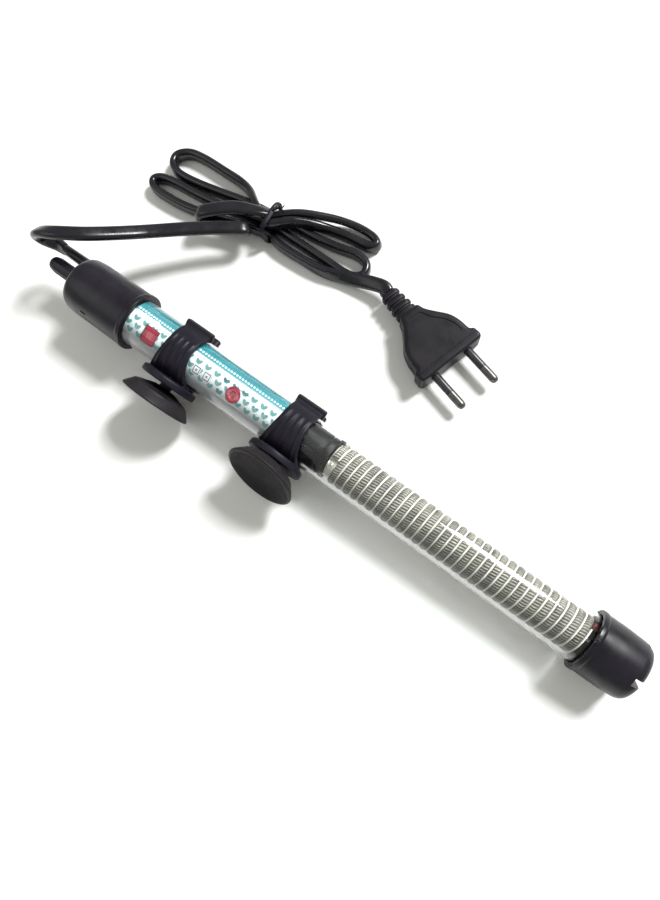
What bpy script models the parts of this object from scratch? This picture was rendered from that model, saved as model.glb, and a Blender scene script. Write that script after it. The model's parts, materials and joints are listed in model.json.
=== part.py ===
"""Submersible aquarium heater: glass tube, heating coil, thermostat, suction-cup clips, tied mains cord and plug.

Blender 4.5. Lengths are in millimetres here and become metres through MM, because the parts are small.
The heater is built along its own X axis, knob end at -X and foot at +X, under the empty "heater_rig".
The rig leans it a little, so that it rests on its foot cap, one suction cup and the tied cord.
"""

import math

import bmesh
import bpy
from mathutils import Matrix, Vector

MM = 0.001
GAP = 0.3  # clearance between neighbouring solids
STEPS = 40  # facets round a turned piece

# The heater on the table
RIG = (6.15, 7.64, 16.71)  # axis point that local x = 0 stands for
TILT = math.radians(1.5)  # foot end down

# Glass tube
TUBE_R = 11.0
TUBE_WALL = 1.0
TUBE_START = -128.0
TUBE_DOME = 127.5  # where the rounded closed end begins
TUBE_BORE = TUBE_R - TUBE_WALL

# Caps
TOP_RIM = -105.5
TOP_END = -141.4
TOP_R = 13.5
FOOT_RIM = 124.0
FOOT_END = 147.0
FOOT_R = 13.0

# Temperature knob and its shaft
KNOB_TIP = -159.5
KNOB_R = 3.8
SHAFT_R = 1.9
SHAFT_END = -88.0

# Label film, lamp window and pointer window
LABEL_R = 9.7
LABEL_WALL = 0.25
LABEL_START = -110.5
LABEL_END = -14.0
WINDOW_TURN = math.radians(-20)  # round the tube, from the top towards the clips' side
LAMP_X = -93.0
LAMP_SIDE = 7.0
POINTER_X = -46.8
POINTER_R = 3.5
POINTER_TRAVEL = 3.0

# Thermostat
FRAME_Z = -2.6
BIMETAL_X = -38.0
BIMETAL_LENGTH = 34.0

# Heating element
HOLDER_START = -13.0
HOLDER_END = 1.8
CORE_START = 2.4
CORE_END = 121.0
CORE_R = 5.6
COIL_START = 8.2
COIL_TURNS = 29
COIL_PITCH = 3.86
COIL_R = 7.95
COIL_WIRE_R = 1.15
COIL_POINTS = 7  # points in each turn

# Suction-cup clips
CLIP_X = (-77.5, -17.5)
CLIP_DROOP = (math.radians(5), math.radians(-3))
CUP_DROOP = (math.radians(5.5), math.radians(-20))
CLIP_BORE = 11.35
CLIP_WALL = 2.0
CLIP_GAP_HALF = math.radians(22)
CLIP_WIDTH = 12.5
LIP_R = 15.4
DISC_R = 13.4
DISC_NEAR = 12.2
DISC_FAR = 15.7
CUP_R = 16.5

# Flat mains cord, modelled as a round tube of its own middle
CORD_R = 2.5
CORD_Y = 8.0  # how far off the axis it leaves the top cap
CORD_Z = 1.0
GLAND_END = -157.4

# Plug
PLUG_FRONT = (24.2, 74.7)
PLUG_TURN = math.radians(-15.5)
PLUG_LENGTH = 30.5
PLUG_RELIEF = 14.0
PLUG_HALF = 6.85
PIN_LENGTH = 19.0
PIN_SPACING = 18.6
PIN_R = 2.0

# Where the five strands of the hank pass through the tie: along and across it
TIE_AT = (-85.9, 85.7)
TIE_TURN = math.radians(10.6)
TIE_HALF_WIDTH = 8.7
TIE_HALF_HEIGHT = 7.0
TIE_THICK = 0.6
TIE_WIDTH = 3.0

# The free cord's route from the gland to the plug, in the table's frame
CORD_ROUTE = [
    # up and round, then down towards the hank as a flat ribbon
    (-157.5, 15.5, 22.1), (-161.3, 13.7, 25.1), (-161.9, 13.0, 29.9), (-157.6, 13.9, 34.2),
    (-149.8, 17.0, 36.2),
    (-139.5, 24.6, 33.9), (-130.9, 35.2, 27.7), (-123.5, 45.1, 22.1), (-114.0, 54.5, 19.4),
    (-103.8, 63.6, 17.2),
    (-95.8, 69.8, 15.9), (-91.8, 72.7, 15.1),
    # folded under itself, back, and over again into the tie
    (-91.3, 74.2, 13.0), (-94.6, 74.6, 10.0), (-100.6, 73.0, 9.0), (-107.9, 70.6, 9.2), (-113.5, 69.1, 9.8),
    (-116.1, 68.4, 10.9), (-115.7, 68.2, 13.2), (-113.5, 69.3, 15.2), (-109.1, 73.2, 15.6),
    (-101.9, 79.2, 15.2),
    (-93.1, 83.4, 14.2), (-86.4, 88.3, 10.8),
    # first right loop
    (-82.8, 90.9, 10.2), (-76.5, 96.0, 9.3), (-69.3, 100.5, 7.8), (-60.0, 105.4, 5.6), (-50.2, 108.0, 4.2),
    (-41.9, 107.9, 3.6), (-38.2, 105.2, 3.6), (-41.3, 102.2, 3.6), (-51.2, 101.2, 3.6), (-61.4, 99.0, 4.6),
    (-70.0, 94.8, 7.8), (-77.2, 89.9, 10.2), (-85.4, 83.2, 10.4),
    # first left loop
    (-91.6, 85.6, 8.9), (-98.4, 88.8, 8.5), (-105.7, 93.6, 5.6), (-114.1, 96.2, 3.7), (-126.1, 96.6, 3.5),
    (-137.6, 96.7, 3.5),
    (-146.6, 95.3, 3.5), (-151.7, 90.6, 3.5), (-150.0, 85.3, 3.5), (-143.4, 83.0, 3.5), (-131.9, 83.9, 3.5),
    (-118.5, 86.3, 3.5), (-103.2, 89.1, 3.7), (-86.7, 90.8, 3.6),
    # second right loop
    (-76.3, 91.6, 3.7), (-64.7, 92.2, 3.5), (-53.1, 93.8, 3.5), (-43.4, 95.8, 3.5), (-36.5, 94.3, 3.5),
    (-34.5, 89.2, 3.5), (-38.4, 85.4, 3.5), (-46.5, 84.9, 3.5), (-57.9, 85.3, 3.5), (-72.4, 85.5, 3.6),
    (-85.8, 85.8, 3.6),
    # second left loop
    (-103.2, 82.8, 3.6), (-116.6, 80.2, 3.5), (-129.9, 78.7, 3.5), (-141.4, 78.0, 3.5), (-149.7, 76.6, 3.5),
    (-153.1, 73.3, 3.5), (-150.1, 70.0, 3.5), (-141.4, 69.5, 3.5), (-129.9, 70.3, 3.5), (-118.5, 72.7, 3.5),
    (-105.1, 76.1, 3.5), (-95.5, 78.9, 3.9), (-84.9, 80.8, 3.6),
    # out to the plug
    (-76.3, 79.4, 3.5), (-64.7, 79.4, 3.5), (-51.1, 80.3, 3.5), (-37.6, 83.6, 4.4),
]
CORD_POINTS = 80
BEND_WEIGHT = 14.0  # millimetres that one radian of bend counts for, when the points are spread


def clear_scene():
    for item in list(bpy.data.objects):
        bpy.data.objects.remove(item, do_unlink=True)


def collection(name, hidden=False):
    made = bpy.data.collections.new(name)
    made.hide_render = hidden
    bpy.context.scene.collection.children.link(made)
    return made


def material(name, colour, roughness=0.5, metallic=0.0, transmission=0.0):
    made = bpy.data.materials.new(name)
    made.use_nodes = True
    shader = made.node_tree.nodes["Principled BSDF"]
    shader.inputs["Base Color"].default_value = (*colour, 1.0)
    shader.inputs["Roughness"].default_value = roughness
    shader.inputs["Metallic"].default_value = metallic
    shader.inputs["Transmission Weight"].default_value = transmission
    return made


def empty(name, location=(0, 0, 0), rotation=(0, 0, 0), parent=None):
    made = bpy.data.objects.new(name, None)
    made.location = [v * MM for v in location]
    made.rotation_euler = rotation
    made.parent = parent
    PARTS.objects.link(made)
    return made


def add(name, data, parent, look, location=(0, 0, 0), rotation=(0, 0, 0)):
    """An object of the part, placed in millimetres under its parent."""
    made = bpy.data.objects.new(name, data)
    made.location = [v * MM for v in location]
    made.rotation_euler = rotation
    made.parent = parent
    if look:
        made.data.materials.append(look)
    PARTS.objects.link(made)
    return made


def smooth(item, angle=35):
    item.data.shade_smooth()
    item.data.set_sharp_from_angle(angle=math.radians(angle))
    return item


def chamfer(item, width, segments=1):
    bevel = item.modifiers.new("edges", "BEVEL")
    bevel.width = width * MM
    bevel.segments = segments
    bevel.limit_method = "ANGLE"
    bevel.angle_limit = math.radians(40)
    return item


def block_mesh(name, size):
    mesh = bpy.data.meshes.new(name)
    work = bmesh.new()
    bmesh.ops.create_cube(work, size=1.0)
    bmesh.ops.scale(work, vec=[s * MM for s in size], verts=work.verts)
    work.to_mesh(mesh)
    work.free()
    return mesh


def block(name, size, location, parent, look, rotation=(0, 0, 0), edge=0.0):
    made = add(name, block_mesh(name, size), parent, look, location, rotation)
    return chamfer(made, edge) if edge else made


def drum_mesh(name, radius, length, sides):
    """A cylinder along X, centred on its middle."""
    mesh = bpy.data.meshes.new(name)
    work = bmesh.new()
    bmesh.ops.create_cone(
        work, cap_ends=True, segments=sides, radius1=radius * MM, radius2=radius * MM, depth=length * MM
    )
    bmesh.ops.rotate(work, matrix=Matrix.Rotation(math.radians(90), 3, "Y"), verts=work.verts)
    work.to_mesh(mesh)
    work.free()
    return mesh


def drum(name, radius, start, end, parent, look, y=0.0, z=0.0, sides=20, edge=0.0):
    made = add(name, drum_mesh(name, radius, end - start, sides), parent, look, ((start + end) / 2, y, z))
    smooth(made)
    return chamfer(made, edge) if edge else made


def turned(name, outline, parent, look, location=(0, 0, 0), rotation=(0, math.radians(90), 0), closed=True,
           steps=STEPS):
    """A solid turned about local X. outline holds (x, radius) points, its outer side from high x to low x."""
    mesh = bpy.data.meshes.new(name)
    count = len(outline)
    edges = [(i, (i + 1) % count) for i in range(count if closed else count - 1)]
    mesh.from_pydata([(radius * MM, 0, x * MM) for x, radius in outline], edges, [])
    made = add(name, mesh, parent, look, location, rotation)
    screw = made.modifiers.new("turn", "SCREW")
    screw.steps = screw.render_steps = steps
    screw.use_merge_vertices = True
    screw.merge_threshold = 0.000002
    screw.use_smooth_shade = True
    return made


def tube_curve(name, points, radius, parent, look, resolution=2):
    """A wire through the points, in millimetres, with filled ends."""
    curve = bpy.data.curves.new(name, "CURVE")
    curve.dimensions = "3D"
    curve.bevel_depth = radius * MM
    curve.bevel_resolution = resolution
    curve.use_fill_caps = True
    spline = curve.splines.new("POLY")
    spline.points.add(len(points) - 1)
    for target, point in zip(spline.points, points):
        target.co = (*(Vector(point) * MM), 1.0)
    return add(name, curve, parent, look)


def flat_shape(name, loops, thickness, parent, look, location=(0, 0, 0), rotation=(0, 0, 0)):
    """A plate from closed outlines in its own XY plane; a second outline is a hole."""
    curve = bpy.data.curves.new(name, "CURVE")
    curve.dimensions = "2D"
    curve.fill_mode = "BOTH"
    curve.extrude = thickness * MM / 2
    for loop in loops:
        spline = curve.splines.new("POLY")
        spline.points.add(len(loop) - 1)
        spline.use_cyclic_u = True
        for target, (x, y) in zip(spline.points, loop):
            target.co = (x * MM, y * MM, 0, 1.0)
    return add(name, curve, parent, look, location, rotation)


def as_mesh(item):
    """Replaces a curve or a modified object by its evaluated mesh, welded, so that a Boolean can use it."""
    bpy.context.view_layer.update()
    graph = bpy.context.evaluated_depsgraph_get()
    mesh = bpy.data.meshes.new_from_object(item.evaluated_get(graph))
    work = bmesh.new()
    work.from_mesh(mesh)
    bmesh.ops.remove_doubles(work, verts=work.verts, dist=0.000002)
    bmesh.ops.triangulate(work, faces=work.faces)
    work.to_mesh(mesh)
    work.free()
    name = item.name
    made = bpy.data.objects.new("mesh", mesh)
    made.parent = item.parent
    made.matrix_basis = item.matrix_basis.copy()
    PARTS.objects.link(made)
    bpy.data.objects.remove(item, do_unlink=True)
    made.name = name
    return made


def boolean(target, tool, operation="DIFFERENCE"):
    """Cuts the tool from the target, or joins it; the tool stays as a hidden helper."""
    PARTS.objects.unlink(tool)
    CUTTERS.objects.link(tool)
    tool.hide_render = True
    tool.display_type = "WIRE"
    step = target.modifiers.new(tool.name, "BOOLEAN")
    step.operation = operation
    step.solver = "EXACT"
    step.object = tool
    return target


def weld(item):
    """Merges the slivers that Booleans leave."""
    step = item.modifiers.new("weld", "WELD")
    step.merge_threshold = 0.02 * MM
    return item


def round_the_axis(x, radius, turn):
    """A point at a radius from the heater's axis; turn runs from the top towards +Y."""
    return (x, radius * math.sin(turn), radius * math.cos(turn))


# Tube and caps


def make_glass_tube():
    outer = [(TUBE_DOME + TUBE_R * math.sin(a), TUBE_R * math.cos(a)) for a in arc_steps(90, 0, 7)]
    inner = [(TUBE_DOME + TUBE_BORE * math.sin(a), TUBE_BORE * math.cos(a)) for a in arc_steps(0, 90, 7)]
    outer[0] = (TUBE_DOME + TUBE_R, 0.0)
    inner[-1] = (TUBE_DOME + TUBE_BORE, 0.0)
    rim = [(TUBE_START, TUBE_R), (TUBE_START, TUBE_BORE)]
    return turned("glass_tube", outer + rim + inner, RIG_EMPTY, GLASS, closed=False)


def arc_steps(start, end, count):
    return [math.radians(start + (end - start) * i / (count - 1)) for i in range(count)]


def make_top_cap():
    shoulder = [(TOP_END + 6 - 6 * math.sin(a), TOP_R - 6 + 6 * math.cos(a)) for a in arc_steps(0, 90, 5)]
    outline = [(TOP_RIM, TOP_R + 0.3), (TOP_RIM - 2.0, TOP_R + 0.3), (TOP_RIM - 2.6, TOP_R)]
    outline += shoulder
    outline += [(TOP_END, 2.6), (TOP_END + 3.4, 2.6), (TOP_END + 3.4, 10.4)]
    outline += [(TUBE_START - GAP, TUBE_R + GAP), (TOP_RIM, TUBE_R + GAP)]
    cap = turned("top_cap", outline, RIG_EMPTY, CAP_BLACK)
    passage = block("cord_passage", (12, 6.2, 9.2), (TOP_END, CORD_Y, CORD_Z), RIG_EMPTY, None)
    return boolean(cap, passage)


def make_cord_gland():
    """The flat boot that the cord leaves through: it starts inside the cap and tapers outwards."""
    mesh = bpy.data.meshes.new("cord_gland")
    work = bmesh.new()
    stations = [(TOP_END + 5.4, 2.5, 3.9), (TOP_END, 2.6, 4.0), (GLAND_END, 2.3, 3.75)]
    rings = []
    for x, half_y, half_z in stations:
        ring = []
        for a in arc_steps(0, 330, 12):
            ring.append(work.verts.new(Vector((x, half_y * math.cos(a), half_z * math.sin(a))) * MM))
        rings.append(ring)
    for near, far in zip(rings, rings[1:]):
        for i in range(12):
            j = (i + 1) % 12
            work.faces.new((near[i], near[j], far[j], far[i]))
    work.faces.new(list(reversed(rings[0])))
    work.faces.new(rings[-1])
    bmesh.ops.recalc_face_normals(work, faces=work.faces)
    work.to_mesh(mesh)
    work.free()
    return smooth(add("cord_gland", mesh, RIG_EMPTY, CAP_BLACK, (0, CORD_Y, CORD_Z)))


def make_sealing_bung():
    outline = [(-111.0, 9.0), (-111.8, 9.6), (TUBE_START + GAP, 9.6), (TUBE_START + GAP, 9.7)]
    outline += [(TUBE_START - 0.6, 9.7), (TUBE_START - 5.0, 9.0), (TUBE_START - 5.0, 4.2)]
    outline += [(TUBE_START - 3.0, 4.2), (TUBE_START - 3.0, SHAFT_R + 0.35), (-111.0, SHAFT_R + 0.35)]
    return turned("sealing_bung", outline, RIG_EMPTY, BUNG_GREY)


def make_foot_cap():
    nose = [(FOOT_END - 5 + 5 * math.sin(a), FOOT_R - 5 + 5 * math.cos(a)) for a in arc_steps(90, 0, 5)]
    outline = [(FOOT_END, 3.0)] + nose
    outline += [(FOOT_RIM + 2.4, FOOT_R), (FOOT_RIM + 1.8, FOOT_R + 0.3), (FOOT_RIM, FOOT_R + 0.3)]
    outline += [(FOOT_RIM, TUBE_R + GAP), (FOOT_END - 5.4, TUBE_R + GAP)]
    outline += [(FOOT_END - 2.4, 8.0), (FOOT_END - 2.4, 3.0)]
    cap = turned("foot_cap", outline, RIG_EMPTY, CAP_BLACK)
    for number, turn in enumerate((20, 110)):
        slot = block("foot_slot_%d" % number, (9.0, 40.0, 3.2), (FOOT_END + 0.5, 0, 0), RIG_EMPTY, None,
                     rotation=(math.radians(turn), 0, 0))
        boolean(cap, slot)
    return cap


# Temperature adjuster


def make_knob():
    outline = [(TOP_END - 0.5, 0.0), (TOP_END - 0.5, 3.2), (TOP_END - 1.6, KNOB_R), (KNOB_TIP + 5.0, KNOB_R)]
    outline = [(x, r) for x, r in outline]
    tip = [(KNOB_TIP + 3.0 - 3.0 * math.sin(a), KNOB_R - 3.0 + 3.0 * math.cos(a)) for a in arc_steps(0, 90, 5)]
    outline += tip + [(KNOB_TIP, 0.0)]
    knob = turned("knob", outline, ADJUSTER, CAP_BLACK, closed=False, steps=24)
    bore = drum("knob_bore", SHAFT_R + GAP, TOP_END - 9.0, TOP_END + 2.0, ADJUSTER, None)
    return boolean(knob, bore)


def make_knob_shaft():
    return drum("knob_shaft", SHAFT_R, TOP_END - 8.6, SHAFT_END, ADJUSTER, STEEL, sides=16, edge=0.3)


def make_knob_oring():
    """The ring that keeps water out along the shaft, in the bung's counterbore."""
    ring = [(TUBE_START - 3.95 + 0.6 * math.sin(a), 3.05 + 0.6 * math.cos(a)) for a in arc_steps(90, -225, 8)]
    return turned("knob_oring", ring, RIG_EMPTY, RUBBER, steps=24)


# Label and what shows through it


def make_label_sleeve():
    outline = [(LABEL_END, LABEL_R), (LABEL_START, LABEL_R), (LABEL_START, LABEL_R - LABEL_WALL)]
    outline += [(LABEL_END, LABEL_R - LABEL_WALL)]
    label = turned("label_sleeve", outline, RIG_EMPTY, LABEL_WHITE)
    side = LAMP_SIDE + 0.6
    window = block("lamp_window", (side, side, 6), round_the_axis(LAMP_X, LABEL_R, WINDOW_TURN), RIG_EMPTY, None,
                   rotation=(-WINDOW_TURN, 0, 0))
    slot = block("pointer_window", (2 * (POINTER_R + POINTER_TRAVEL) + 0.8, 2 * POINTER_R + 0.6, 6),
                 round_the_axis(POINTER_X, LABEL_R, WINDOW_TURN), RIG_EMPTY, None, rotation=(-WINDOW_TURN, 0, 0))
    boolean(label, window)
    return boolean(label, slot)


def make_lamp():
    lens = block("lamp_lens", (LAMP_SIDE, LAMP_SIDE, 1.6), round_the_axis(LAMP_X, 8.55, WINDOW_TURN), RIG_EMPTY,
                 LENS_RED, rotation=(-WINDOW_TURN, 0, 0), edge=0.3)
    turn = WINDOW_TURN
    __, y, z = round_the_axis(0, 5.4, turn)
    lamp = drum("neon_lamp", 1.9, LAMP_X - 5, LAMP_X + 5, RIG_EMPTY, LAMP_GLASS, y=y, z=z, sides=14, edge=0.5)
    return lens, lamp


def make_pointer():
    place = round_the_axis(POINTER_X, 7.75, WINDOW_TURN)
    plate = block("pointer_plate", (22.0, 8.2, 0.9), place, POINTER, LABEL_WHITE,
                  rotation=(-WINDOW_TURN, 0, 0))
    disc = add("pointer_disc", drum_mesh("pointer_disc", POINTER_R, 0.6, 24), POINTER, LENS_RED,
               round_the_axis(POINTER_X, 8.85, WINDOW_TURN), (0, 0, 0))
    upright = Matrix.Rotation(math.radians(90), 3, "Y")
    disc.rotation_euler = (Matrix.Rotation(-WINDOW_TURN, 3, "X") @ upright).to_euler()
    return plate, smooth(disc)


# Thermostat on its frame


def make_thermostat():
    length = HOLDER_START - GAP - (-104.0)
    middle = -104.0 + length / 2
    block("thermostat_frame", (length, 13.0, 1.4), (middle, 0, FRAME_Z), RIG_EMPTY, BAKELITE, edge=0.3)
    base = FRAME_Z + 0.7 + GAP
    block("contact_bracket", (6.0, 8.0, 3.2), (-66.0, 0, base + 1.6), RIG_EMPTY, BRASS, edge=0.3)
    drum_up("fixed_contact", 1.5, (-66.0, 0, base + 3.2 + GAP + 0.6), 1.2, RIG_EMPTY, SILVER)
    block("hinge_post", (5.0, 8.0, 4.2), (BIMETAL_X + 6.0, 0, base + 2.1), RIG_EMPTY, BRASS, edge=0.3)
    block("snap_magnet", (6.0, 6.0, 2.6), (-56.0, 0, base + 1.3), RIG_EMPTY, STEEL, edge=0.3)
    block("adjuster_block", (8.0, 9.0, 4.2), (-83.0, 0, base + 2.1), RIG_EMPTY, BAKELITE, edge=0.4)
    drum("lamp_resistor", 1.5, -24.0, -16.5, RIG_EMPTY, RESISTOR_TAN, y=5.4, z=1.2, sides=14, edge=0.4)
    place = (-94.0, 0, FRAME_Z - 0.7 - GAP - 1.2)
    block("spark_capacitor", (8.5, 7.0, 2.4), place, RIG_EMPTY, CAPACITOR_BLUE, edge=0.6)


def drum_up(name, radius, location, height, parent, look):
    """A short cylinder standing along local Z."""
    made = add(name, drum_mesh(name, radius, height, 16), parent, look, location, (0, math.radians(90), 0))
    return smooth(made)


def make_bimetal():
    """The blade bends when warm and lifts its contact; it turns about its fixed end."""
    base = FRAME_Z + 0.7 + GAP
    height = base + 3.2 + GAP + 1.2 + 0.05 + 1.0 + GAP
    blade_x = -BIMETAL_LENGTH / 2
    block("bimetal_strip", (BIMETAL_LENGTH, 6.0, 0.6), (blade_x, 0, 0), BIMETAL, BRASS)
    drum_up("moving_contact", 1.5, (-66.0 - BIMETAL_X, 0, -1.1), 1.0, BIMETAL, SILVER)
    return height


# Heating element


def make_inner_holder():
    outline = [(HOLDER_END, 8.3), (HOLDER_END - 0.5, 8.7), (HOLDER_START + 0.5, 8.7), (HOLDER_START, 8.3)]
    outline += [(HOLDER_START, 6.4), (HOLDER_END - 3.0, 6.4), (HOLDER_END - 3.0, 3.0), (HOLDER_END, 3.0)]
    holder = turned("inner_holder", outline, RIG_EMPTY, CAP_BLACK)
    for number, side in enumerate((-1, 1)):
        place = (HOLDER_END + 0.4, side * 8.3, 0.8)
        nub = as_mesh(block("nub_%d" % number, (2.6, 1.6, 2.2), place, RIG_EMPTY, None))
        boolean(holder, nub, "UNION")
    return holder


def make_ceramic_core():
    outline = [(CORE_END, CORE_R), (CORE_START, CORE_R), (CORE_START, 1.6), (CORE_END, 1.6)]
    return turned("ceramic_core", outline, RIG_EMPTY, CERAMIC, steps=24)


def make_heating_coil():
    count = COIL_TURNS * COIL_POINTS + 1
    points = []
    for i in range(count):
        angle = 2 * math.pi * i / COIL_POINTS
        x = COIL_START + COIL_PITCH * i / COIL_POINTS
        points.append((x, COIL_R * math.sin(angle), COIL_R * math.cos(angle)))
    return tube_curve("heating_coil", points, COIL_WIRE_R, RIG_EMPTY, COIL_GREY)


def make_element_wiring():
    """The fuse by the coil's far end, the return wire down the core's bore, and the curled feed at the near end."""
    drum("thermal_fuse", 1.4, 122.2, 129.2, RIG_EMPTY, FUSE_RED, y=5.0, z=5.4, sides=14, edge=0.4)
    tube_curve("return_wire", [(126.0, 0, 0), (60.0, 0, 0), (-2.0, 0, 0), (-9.0, 0.6, 0.8)], 0.6, RIG_EMPTY, COPPER)
    curl = []
    for i in range(13):
        angle = 2 * math.pi * i / 9
        curl.append((3.0 + 0.18 * i, -3.4 + 1.5 * math.cos(angle), 7.6 + 1.0 * math.sin(angle)))
    tube_curve("coil_lead", curl, 0.32, RIG_EMPTY, COPPER)


def make_supply_wires():
    """The two cores of the cord, from the bung's inner face to their terminals."""
    for name, side in (("live_wire", 1), ("neutral_wire", -1)):
        route = [(-110.4, 3.0 * side, 5.2), (-106.0, 4.4 * side, 3.4), (-100.0, 5.4 * side, 0.8),
                 (-92.0, 6.0 * side, -0.6),
                 (-80.0, 6.2 * side, -0.6)]
        tube_curve(name, route, 0.7, RIG_EMPTY, COPPER)


# Suction-cup clips


def clip_width(turn):
    """The band is narrow at its lips and widens towards the disc."""
    nearness = max(0.0, 1 - abs(turn) / math.radians(110))
    return CLIP_WIDTH + 9.0 * nearness ** 1.6


def make_clip(number):
    """An open snap ring with two lips, and a round disc that holds the suction cup. Its local Z points to the cup."""
    parent = CLIPS[number]
    name = "clip_%d" % (number + 1)
    rows = 33
    reach = math.pi - CLIP_GAP_HALF
    mesh = bpy.data.meshes.new(name)
    work = bmesh.new()
    grid = []
    for i in range(rows):
        turn = -reach + 2 * reach * i / (rows - 1)
        half = clip_width(turn) / 2
        across = []
        for side in (-1, 1):
            spot = Vector((side * half, CLIP_BORE * math.sin(turn), CLIP_BORE * math.cos(turn)))
            across.append(work.verts.new(spot * MM))
        grid.append(across)
    for first, second in zip(grid, grid[1:]):
        work.faces.new((first[0], first[1], second[1], second[0]))
    bmesh.ops.recalc_face_normals(work, faces=work.faces)
    work.to_mesh(mesh)
    work.free()
    band = add(name, mesh, parent, CLIP_BLACK)
    shell = band.modifiers.new("wall", "SOLIDIFY")
    shell.thickness = CLIP_WALL * MM
    shell.offset = band_side(mesh)
    band = as_mesh(band)
    disc = turned("disc_%d" % number, disc_outline(), parent, None, rotation=(0, 0, 0.06), steps=32)
    boolean(band, as_mesh(disc), "UNION")
    for side in (-1, 1):
        turn = side * (reach - 0.04)
        middle = (CLIP_BORE + LIP_R) / 2
        lip = block("lip_%d_%d" % (number, side), (14.6, 2.2, LIP_R - CLIP_BORE - 0.1),
                    (0, middle * math.sin(turn), middle * math.cos(turn)), parent, None, rotation=(-turn, 0, 0))
        boolean(band, as_mesh(lip), "UNION")
    hole = drum_mesh("stud_hole_%d" % number, 3.3, 12.0, 20)
    cutter = add("stud_hole_%d" % number, hole, parent, None, (0, 0, DISC_NEAR + 2), (0, math.radians(90), 0))
    boolean(band, cutter)
    recess = add("stud_recess_%d" % number, drum_mesh("recess", 4.9, 5.8, 20), parent, None, (0, 0, 11.0),
                 (0, math.radians(90), 0))
    boolean(band, recess)
    return weld(band)


def band_side(mesh):
    """Solidify grows along the normals; this says which way is outwards."""
    face = mesh.polygons[len(mesh.polygons) // 2]
    outwards = Vector((0, face.center.y, face.center.z))
    return 1.0 if face.normal.dot(outwards) > 0 else -1.0


def disc_outline():
    """The clip's disc about local Z, as (height, radius)."""
    outline = [(DISC_FAR, 3.0), (DISC_FAR, DISC_R - 1.2), (DISC_FAR - 1.0, DISC_R), (DISC_NEAR + 1.0, DISC_R)]
    outline += [(DISC_NEAR, DISC_R - 1.2), (DISC_NEAR, 3.0)]
    return outline


def make_cup(number):
    """A suction cup with its mushroom stud. The stud stands along the clip's Z, the cup bends down from it."""
    parent = CLIPS[number]
    bend = CUP_DROOP[number] - CLIP_DROOP[number]
    name = "cup_%d" % (number + 1)
    spin = empty(name + "_spin", (0, 0, DISC_FAR), (0, 0, 0), parent)
    stud_top = 0.5
    stud = [(stud_top, 2.9), (DISC_NEAR + 1.3 - DISC_FAR, 2.9), (DISC_NEAR + 1.3 - DISC_FAR - 0.4, 4.4)]
    stud += [(11.6 - DISC_FAR, 4.0)]
    stud = [(stud_top, 0.0)] + stud + [(11.6 - DISC_FAR, 0.0)]
    body = [(9.6, CUP_R - 1.9), (9.6, CUP_R - 0.6), (9.2, CUP_R), (8.6, CUP_R), (7.4, 14.6), (6.1, 12.2)]
    body += [(5.6, 12.0), (4.6, 10.4), (4.2, 8.6)]
    body += [(3.4, 7.4), (2.5, 6.6), (1.6, 3.6), (1.6, 0.0)]
    hollow = [(4.6, 0.0), (5.0, 4.0), (6.0, 8.4), (7.6, 12.0)]
    made = turned(name, hollow + body, spin, RUBBER, rotation=(bend, 0, 0), closed=False, steps=36)
    made = as_mesh(made)
    made.data.materials.append(RUBBER)
    tool = turned("stud_%d" % number, stud, spin, None, rotation=(0, 0, 0), closed=False, steps=20)
    neck = turned("neck_%d" % number, [(3.0, 0.0), (3.0, 2.9), (-0.6, 2.9), (-0.6, 0.0)], spin, None, rotation=(0, 0, 0),
                  closed=False, steps=20)
    boolean(made, as_mesh(neck), "UNION")
    boolean(made, as_mesh(tool), "UNION")
    return smooth(made, 50)


# Cord, tie and plug


def smooth_route(points, count):
    """Points along a Catmull-Rom curve through the route, closer together where it bends."""
    path = [Vector(p) for p in points]
    fine = []
    padded = [path[0] * 2 - path[1]] + path + [path[-1] * 2 - path[-2]]
    for a, b, c, d in zip(padded, padded[1:], padded[2:], padded[3:]):
        for i in range(12):
            t = i / 12
            fine.append(0.5 * ((2 * b) + (c - a) * t + (2 * a - 5 * b + 4 * c - d) * t * t
                               + (3 * b - a - 3 * c + d) * t ** 3))
    fine.append(path[-1])
    along = [0.0, (fine[1] - fine[0]).length]
    for before, first, second in zip(fine, fine[1:], fine[2:]):
        step = second - first
        bend = (first - before).angle(step)
        along.append(along[-1] + step.length + BEND_WEIGHT * bend)
    picked = []
    spot = 0
    for i in range(count):
        target = along[-1] * i / (count - 1)
        while spot < len(along) - 2 and along[spot + 1] < target:
            spot += 1
        share = (target - along[spot]) / (along[spot + 1] - along[spot])
        picked.append(fine[spot].lerp(fine[spot + 1], share))
    return picked


def make_cord():
    """The cord starts a gap outside the boot, runs straight out of it, and ends a gap short of the plug."""
    bpy.context.view_layer.update()
    out = Vector((-1, 0, 0))
    out.rotate(RIG_EMPTY.rotation_euler)
    start = RIG_EMPTY.matrix_world @ Vector((GLAND_END * MM, CORD_Y * MM, CORD_Z * MM)) / MM
    back = Vector((-1, 0, 0))
    back.rotate(PLUG.rotation_euler)
    end = Vector((*PLUG_FRONT, PLUG_HALF)) + back * (PLUG_LENGTH + PLUG_RELIEF)
    route = [start + out * 0.5, start + out * 5.0] + CORD_ROUTE + [end + back * 8.0, end + back * 0.5]
    return tube_curve("cord", smooth_route(route, CORD_POINTS), CORD_R, None, CORD_BLACK)


def rounded_loop(half_width, half_height, count):
    """A closed outline between an ellipse and a rectangle."""
    loop = []
    for i in range(count):
        angle = 2 * math.pi * i / count
        c, s = math.cos(angle), math.sin(angle)
        across = half_width * math.copysign(abs(c) ** 0.5, c)
        upward = half_height * math.copysign(abs(s) ** 0.5, s)
        loop.append((across, upward))
    return loop


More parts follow.
